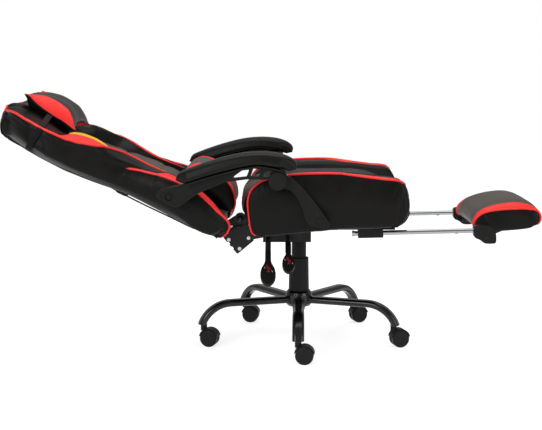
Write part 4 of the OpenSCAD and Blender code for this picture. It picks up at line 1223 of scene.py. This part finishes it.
    def build(self) -> None:
        """Makes every soft piece of the backrest."""
        middle = self.middle_pad().build()
        stuff(middle, 3.0, 7)
        settle(middle, "backrest", "black_upholstery", 0.8, "back_panel", "back_shell")
        for side in Side:
            pad = self.wing(side)
            piece = pad.build()
            stuff(piece, 2.0, 5)
            settle(piece, "backrest", "black_upholstery", 0.85, f"back_wing_{side.word}")
            upper = sewn_cord(pad, "shoulder_piping", f"shoulder_piping_{side.word}", 3.8, 190, 744,
                              0.17)
            settle(upper, "backrest", "black_upholstery")
            lower = sewn_cord(pad, "lobe_piping", f"lobe_piping_{side.word}", 3.8, -100, 346)
            settle(lower, "backrest", "black_upholstery")
        pillow = self.headrest().build()
        stuff(pillow, 4.0, 8)
        settle(pillow, "backrest", "headrest_fabric", 0.9, "headrest_pillow")
        lumbar = self.lumbar()
        piece = lumbar.build()
        stuff(piece, 4.0, 8)
        self.yielding(settle(piece, "backrest", "black_upholstery", 0.9, "lumbar_pillow"))
        for side in Side:
            cord = sewn_cord(lumbar, f"{side.word}_rim", f"lumbar_piping_{side.word}", 2.6)
            self.yielding(settle(cord, "backrest", "black_upholstery"))
        span = np.array([128.0, 100.0, 50.0, 0.0, -50.0, -100.0, -128.0])
        edge = DATUM.back(np.full(7, 70.0), np.full(7, 749.5), span)
        rims = [self.wing(side).rail_line("shoulder_piping", 1.2 * MM, 290, 744)[-1]
                for side in (Side.LEFT, Side.RIGHT)]
        line = flowing([tuple(p) for p in (rims[0], *edge, rims[1])], 60)
        settle(tube("head_piping", line, 3.8 * MM, RED_PIPING), "backrest", "black_upholstery")
        self.straps()


# ---------------------------------------------------------------- armrests and footrest


@dataclass(frozen=True)
class Armrest:
    """One armrest's pad: a long padded bow, pointed at the rear and rounded in front."""

    side: Side
    top: tuple = ((-366, 548), (-358, 565), (-340, 576), (-264, 603), (-186, 623), (-125, 629), (-75, 626),
                  (-42, 617), (-23, 606), (-14, 593), (-16, 579))
    under: tuple = ((-364, 545), (-335, 538), (-264, 560), (-176, 583), (-125, 590), (-75, 583), (-50, 577),
             (-30, 572))

    def pad(self) -> SewnPad:
        """Draws the pad with its long side seams.

        Returns:
            The drawn pad, not yet made.
        """
        rails = (
            Rail("inner_under", ((0, 0.08),), ((-366, 290), (-330, 270), (-60, 266), (-14, 280)), 4,
                 ((0, 2),), 0, 0.2),
            Rail("inner_seam", ((0, 0.5),), ((-366, 286), (-330, 266), (-60, 262), (-14, 276)), 5,
                 ((0, 3),), 0, 0.4, True),
            Rail("inner_top", ((0, 0.93),), ((-366, 294), (-330, 280), (-60, 277), (-14, 286)), 5),
            Rail("top", ((0, 1.0),), ((0, 303.5),), 5),
            Rail("outer_top", ((0, 0.93),), ((-366, 313), (-330, 327), (-60, 330), (-14, 321)), 5,
                 ((0, 3),), 0),
            Rail("outer_seam", ((0, 0.5),), ((-366, 321), (-330, 341), (-60, 345), (-14, 331)), 4,
                 ((0, 2),), 0, 0.4, True),
            Rail("outer_under", ((0, 0.08),), ((-366, 317), (-330, 337), (-60, 341), (-14, 327)), 4,
                 ((0, 0),), 0, 0.2),
            Rail("under", ((0, 0.0),), ((0, 303.5),), 4),
        )
        return SewnPad(f"arm_pad_skin_{self.side.word}", self.top, self.under, rails, DATUM.seat,
                       Axis.FORWARD, (ARM_SKIN,), self.side, 110, 0.03)

    def build(self) -> None:
        """Makes the pad and sets it on its arm."""
        piece = self.pad().build()
        settle(piece, f"armrest_{self.side.word}", "arm_pad_foam", 0.8, f"arm_pad_{self.side.word}")


@dataclass(frozen=True)
class Footrest:
    """The footrest pad: dark rolled top with a painted grey-brown sheen in its colour, red bands, black
    ends.
    """

    crown: tuple = ((547, 379), (530, 386), (524, 399), (533, 422), (555, 444), (600, 462), (655, 470),
             (694, 463), (720, 446), (731, 422), (724, 402), (704, 391))
    under: tuple = ((548, 379), (566, 373), (620, 377.5), (690, 383.5), (702, 391))

    def pad(self) -> SewnPad:
        """Draws the pad, with a red band along each end of its top.

        Returns:
            The drawn pad, not yet made.
        """
        end_rise = ((480, 0.95), (524, 0.93), (545, 0.86), (600, 0.75), (655, 0.71), (700, 0.78),
                    (731, 0.93), (780, 0.95))
        band_rise = ((480, 1.0), (524, 0.985), (600, 0.92), (655, 0.9), (700, 0.92), (731, 0.985),
                     (780, 1.0))
        rails = (
            Rail("right_end_edge", end_rise, ((0, -168),), 4, ((0, 1.0),), 1, 0.35, True),
            Rail("right_band", band_rise, ((0, -144),), 8, ((0, 1.5),), 0, 0.15, True),
            Rail("right_crown", ((0, 1.0),), ((0, -75),), 8),
            Rail("left_crown", ((0, 1.0),), ((0, 75),), 8, ((0, 1.5),)),
            Rail("left_band", band_rise, ((0, 144),), 4, ((0, 1.0),), 1, 0.15, True),
            Rail("left_end_edge", end_rise, ((0, 168),), 5, ((0, 3),), 2, 0.35, True),
            Rail("left_end", ((0, 0.35),), ((0, 171),), 5, ((0, 1),), 2),
            Rail("left_under", ((0, 0.0),), ((0, 162),), 8, ((0, 0),), 2, 0.5),
            Rail("right_under", ((0, 0.0),), ((0, -162),), 5, ((0, 1),), 2, 0.5),
            Rail("right_end", ((0, 0.35),), ((0, -171),), 5, ((0, 3),), 2),
        )
        return SewnPad("footrest_cushion", self.crown, self.under, rails, DATUM.seat, Axis.FORWARD,
                       (PAINTED_SHEEN_COVER, RED_COVER, BLACK_COVER), Side.LEFT, 90, 0.06)

    def build(self) -> None:
        """Makes the pad and its piping."""
        pad = self.pad()
        piece = pad.build()
        stuff(piece, 3.0, 6)
        settle(piece, "footrest", "footrest_upholstery", 0.85, "footrest_pad")
        for side in Side:
            cord = sewn_cord(pad, f"{side.word}_end_edge", f"footrest_piping_{side.word}", 3.4)
            settle(cord, "footrest", "footrest_upholstery")


@dataclass(frozen=True)
class LowerTrim:
    """Small rigid pieces below the seat: lever sleeves, grip marks, rods and pivot caps.

    Attributes:
        lever_slope: how steeply the levers fall away from the mechanism.
        rod_slope: how far the footrest rods fall towards the rear.
        lever_top: where a lever leaves the mechanism, across and up, in metres.
        bent_rod_half: half the thickness of the lift lever's rod, in millimetres.
        grip_half: from the middle of a grip to its outer face, in millimetres.
        sleeve_radius: the sleeve's radius between its ribs, in millimetres.
        rib: height of the ribs, in millimetres.
        rib_pitch: distance from rib to rib, in millimetres.
        rod_radius: the footrest rod's radius, in millimetres.
        collar: radius and length of the rod's rear collar, in millimetres.
        rod_middle: from the outermost side of the rods to a rod's middle, in millimetres.
        screw_at: from the rear of the rods to their stop screw, in metres.
        screw_radii: the screw head's radii from its root down, in millimetres.
        cap_steps: how far the pivot cap's rings stand off the bracket, in millimetres.
        cap_radii: the radii of those rings, in millimetres.
    """

    lever_slope: float = math.radians(42)
    rod_slope: float = math.radians(1.4)
    lever_top: tuple[float, float] = (-0.07, 0.36)
    bent_rod_half: float = 7
    grip_half: float = 6.2
    sleeve_radius: float = 7.2
    rib: float = 1.9
    rib_pitch: float = 6
    rod_radius: float = 7.2
    collar: tuple[float, float] = (9.2, 8)
    rod_middle: float = 9.2
    screw_at: float = 0.314
    screw_radii: tuple = (6.5, 6.5, 6.3, 5.9, 5.2, 4.2, 3.0, 1.6, 0.4)
    cap_steps: tuple = (-0.5, 0.2, 1.2, 1.9, 2.2)
    cap_radii: tuple = (5.6, 5.6, 5.2, 3.9, 0.6)

    def lever_x(self, body: str) -> float:
        """Gives how far forward a lever stands, in metres."""
        low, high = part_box(f"{body}_rod")
        return (low.x + high.x) / 2 if body == "recline_lever" else low.x + self.bent_rod_half * MM

    def sleeve(self, body: str, start_mm: float, end_mm: float) -> None:
        """Slips a sleeve over a lever's rod; its ribs are the root of a raised cosine.

        Args:
            body: the lever's body.
            start_mm: where the sleeve starts, from the mechanism down the lever.
            end_mm: where it ends, at the grip.
        """
        count = 90
        run = np.linspace(start_mm, end_mm, count) * MM
        across, up = self.lever_top
        line = np.stack([np.full(count, self.lever_x(body)), across - run * math.cos(self.lever_slope),
                         up - run * math.sin(self.lever_slope)], axis=1)
        wave = 0.5 + 0.5 * np.cos(2 * np.pi * run / (self.rib_pitch * MM))
        radius = (self.sleeve_radius + self.rib * wave**0.5) * MM
        piece = tube(f"{body}_sleeve", line, radius, MOULDED, 20)
        settle(piece, body, "grip_plastic")

    def mark(self, body: str, start_mm: float) -> None:
        """Prints a small seat sign and two ticks on the outer face of a grip.

        Args:
            body: the lever's body.
            start_mm: where the grip starts, from the mechanism down the lever.
        """
        slope = self.lever_slope
        down = np.array([0.0, -math.cos(slope), -math.sin(slope)])
        out = np.array([0.0, -math.sin(slope), math.cos(slope)])
        face = np.array([self.lever_x(body), *self.lever_top]) + out * self.grip_half * MM

        def stroke(points: Sequence[tuple[float, float]]) -> np.ndarray:
            """Places a line, drawn in millimetres on the grip's face, in the chair."""
            p = flowing(points, 14) * MM
            return face + p[:, :1] * np.array([1.0, 0, 0]) + (start_mm * MM + p[:, 1:]) * down

        seat = (((-5, 18), (-3, 30), (1, 36), (8, 37)), ((-1, 20), (0, 29), (4, 31), (8, 30)),
                ((1, 38), (1, 44)), ((-4, 45), (6, 45)))
        for number, points in enumerate(seat):
            settle(tube(f"{body}_sign_{number + 1}", stroke(points), 0.9 * MM, RED_MARK, 6), body,
                   "grip_plastic")
        for number, points in enumerate((((-12, 26), (-9, 32)), ((11, 40), (14, 46)))):
            settle(tube(f"{body}_tick_{number + 1}", stroke(points), 0.8 * MM, WHITE_MARK, 6), body,
                   "grip_plastic")

    def rods(self) -> None:
        """Makes the two chromed rods, their rear collars and the stop screws under them."""
        low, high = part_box("footrest_rods")
        thin, (thick, collar_end) = self.rod_radius, self.collar
        for side in Side:
            y = side.value * (high.y - self.rod_middle * MM)
            x = np.linspace(low.x + 0.2 * MM, high.x, 40)
            z = high.z - thin * MM - (high.x - x) * math.tan(self.rod_slope)
            line = np.stack([x, np.full(40, y), z], axis=1)
            radius = np.where(x < low.x + collar_end * MM, thick, thin) * MM
            rod = tube(f"footrest_rod_{side.word}", line, radius, CHROME, 28)
            settle(rod, "footrest_frame", "rod_chrome")
            screw_x = low.x + self.screw_at
            at = np.array([screw_x, y, np.interp(screw_x, x, z) - thin * MM])
            drop = np.linspace(1.5, -3.2, 9)[:, None] * MM * np.array([[0, 0, 1.0]])
            screw = tube(f"rod_screw_{side.word}", at + drop, np.array(self.screw_radii) * MM, ZINC,
                         20)
            settle(screw, "footrest_frame", "rod_chrome")
        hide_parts("footrest_rods")

    def caps(self) -> None:
        """Adds the black bolt heads of the footrest's pivots."""
        _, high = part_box("footrest_brackets")
        pivot = next(j["pos_m"] for j in frame["joints"] if j["name"] == "footrest_flip")
        for side in Side:
            y = side.value * (high.y + np.array(self.cap_steps) * MM)
            line = np.stack([np.full(len(y), pivot[0]), y, np.full(len(y), pivot[2])], axis=1)
            head = tube(f"footrest_pivot_cap_{side.word}", line, np.array(self.cap_radii) * MM,
                        PAINTED_PLATE, 24)
            settle(head, "footrest_frame", "bracket_plastic")

    def build(self) -> None:
        """Makes every small piece."""
        self.sleeve("lift_lever", 16, 50)
        self.sleeve("recline_lever", 16, 80)
        self.mark("lift_lever", 88)
        self.mark("recline_lever", 118)
        self.rods()
        self.caps()


# ---------------------------------------------------------------- rigid nodes, room and camera


def dress_nodes() -> None:
    """Gives each rigid CAD node its procedural material."""
    for name, node in frame["nodes"].items():
        finish = finish_of(name)
        if finish is None:
            continue
        material = finish.make()
        if not node.material_slots:
            node.data.materials.append(material)
        for slot in node.material_slots:
            slot.material = material
        LOG.info("%s is %s", name, finish.name)


def paper_white(name: str, shade: float, glow: float) -> bpy.types.Material:
    """Makes the pale floor: diffuse paper that takes shadows and reads white to the camera.

    Args:
        name: the material's name.
        shade: how pale the paper is, 0 to 1.
        glow: light added where the camera, a mirror or clear material sees the floor.

    Returns:
        The material.
    """
    material = bpy.data.materials.new(name)
    material.use_nodes = True
    tree = material.node_tree
    tree.nodes.clear()
    seen = add_node(tree, "LightPath")
    either = add_node(tree, "Math", {0: seen.outputs["Is Camera Ray"], 1: seen.outputs["Is Glossy Ray"]},
                      operation="MAXIMUM")
    either = add_node(tree, "Math", {0: either.outputs[0], 1: seen.outputs["Is Transmission Ray"]},
                      operation="MAXIMUM")
    strength = add_node(tree, "Math", {0: either.outputs[0], 1: glow}, operation="MULTIPLY")
    paper = add_node(tree, "BsdfDiffuse", {"Color": (shade, shade, shade, 1.0)})
    light = add_node(tree, "Emission", {"Color": (1, 1, 1, 1), "Strength": strength.outputs[0]})
    both = add_node(tree, "AddShader", {0: paper.outputs[0], 1: light.outputs[0]})
    add_node(tree, "OutputMaterial", {"Surface": both.outputs[0]})
    return material


@dataclass(frozen=True)
class Lamp:
    """A square softbox.

    Attributes:
        name: the lamp's name.
        place: where it hangs, in metres.
        turn: its turns about X and Z in degrees; unturned, it points down.
        size: the length of its side in metres.
        power: its power in watts.
    """

    name: str
    place: tuple[float, float, float]
    turn: tuple[float, float]
    size: float
    power: float

    def hang(self) -> None:
        """Adds the lamp to the scene."""
        data = bpy.data.lights.new(self.name, "AREA")
        data.shape = "SQUARE"
        data.size = self.size
        data.energy = self.power
        lamp = bpy.data.objects.new(self.name, data)
        lamp.location = self.place
        lamp.rotation_euler = (math.radians(self.turn[0]), 0, math.radians(self.turn[1]))
        bpy.context.scene.collection.objects.link(lamp)


LAMPS = (
    Lamp("overhead_softbox", (0.1, 0.3, 3.2), (0, 0), 2.6, 46),
    Lamp("front_softbox", (-1.6, -3.0, 1.9), (62, -28), 1.6, 46),
    Lamp("fill_softbox", (2.6, -2.2, 1.3), (72, 52), 1.6, 26),
)
CAMERA_PLACE = (-0.009, -3.805, 0.918)
CAMERA_DIP = 7.72        # degrees that the camera looks down
LENS_MM = 80.4
SENSOR_MM = 36
FLOOR_HALF = 14.0        # half the floor's side, in metres
FLOOR_SHADE = 0.62
FLOOR_GLOW = 0.74


def build_room() -> None:
    """Lays the floor, lights the chair softly and sets the camera."""
    half = FLOOR_HALF
    floor = new_piece("floor", np.array([(-half, -half, 0), (half, -half, 0), (half, half, 0),
                                         (-half, half, 0)], float), [(0, 1, 2, 3)], [])
    floor.data.materials.append(paper_white("pale_floor", FLOOR_SHADE, FLOOR_GLOW))

    world = bpy.data.worlds.new("studio")
    bpy.context.scene.world = world
    world.use_nodes = True
    tree = world.node_tree
    tree.nodes.clear()
    seen = add_node(tree, "LightPath")
    either = add_node(tree, "Math", {0: seen.outputs["Is Camera Ray"],
                                     1: seen.outputs["Is Transmission Ray"]}, operation="MAXIMUM")
    strength = add_node(tree, "MapRange", {"Value": either.outputs[0], 3: 0.42, 4: 1.0})
    sky = add_node(tree, "Background", {"Color": (1, 1, 1, 1), "Strength": strength.outputs[0]})
    add_node(tree, "OutputWorld", {"Surface": sky.outputs[0]})

    for lamp in LAMPS:
        lamp.hang()
    data = bpy.data.cameras.new("camera")
    data.lens = LENS_MM
    data.sensor_width = SENSOR_MM
    camera = bpy.data.objects.new("camera", data)
    camera.location = CAMERA_PLACE
    camera.rotation_euler = (math.radians(90 - CAMERA_DIP), 0, 0)
    bpy.context.scene.collection.objects.link(camera)
    bpy.context.scene.camera = camera
    bpy.context.scene.view_settings.view_transform = "Standard"


def main() -> None:
    """Builds the room, then every piece of the chair in order."""
    logging.basicConfig(level=logging.INFO, format="%(message)s")
    build_room()
    dress_nodes()
    Seat().build()
    Backrest().build()
    for side in Side:
        Armrest(side).build()
    Footrest().build()
    LowerTrim().build()


if __name__ == "__main__":
    main()
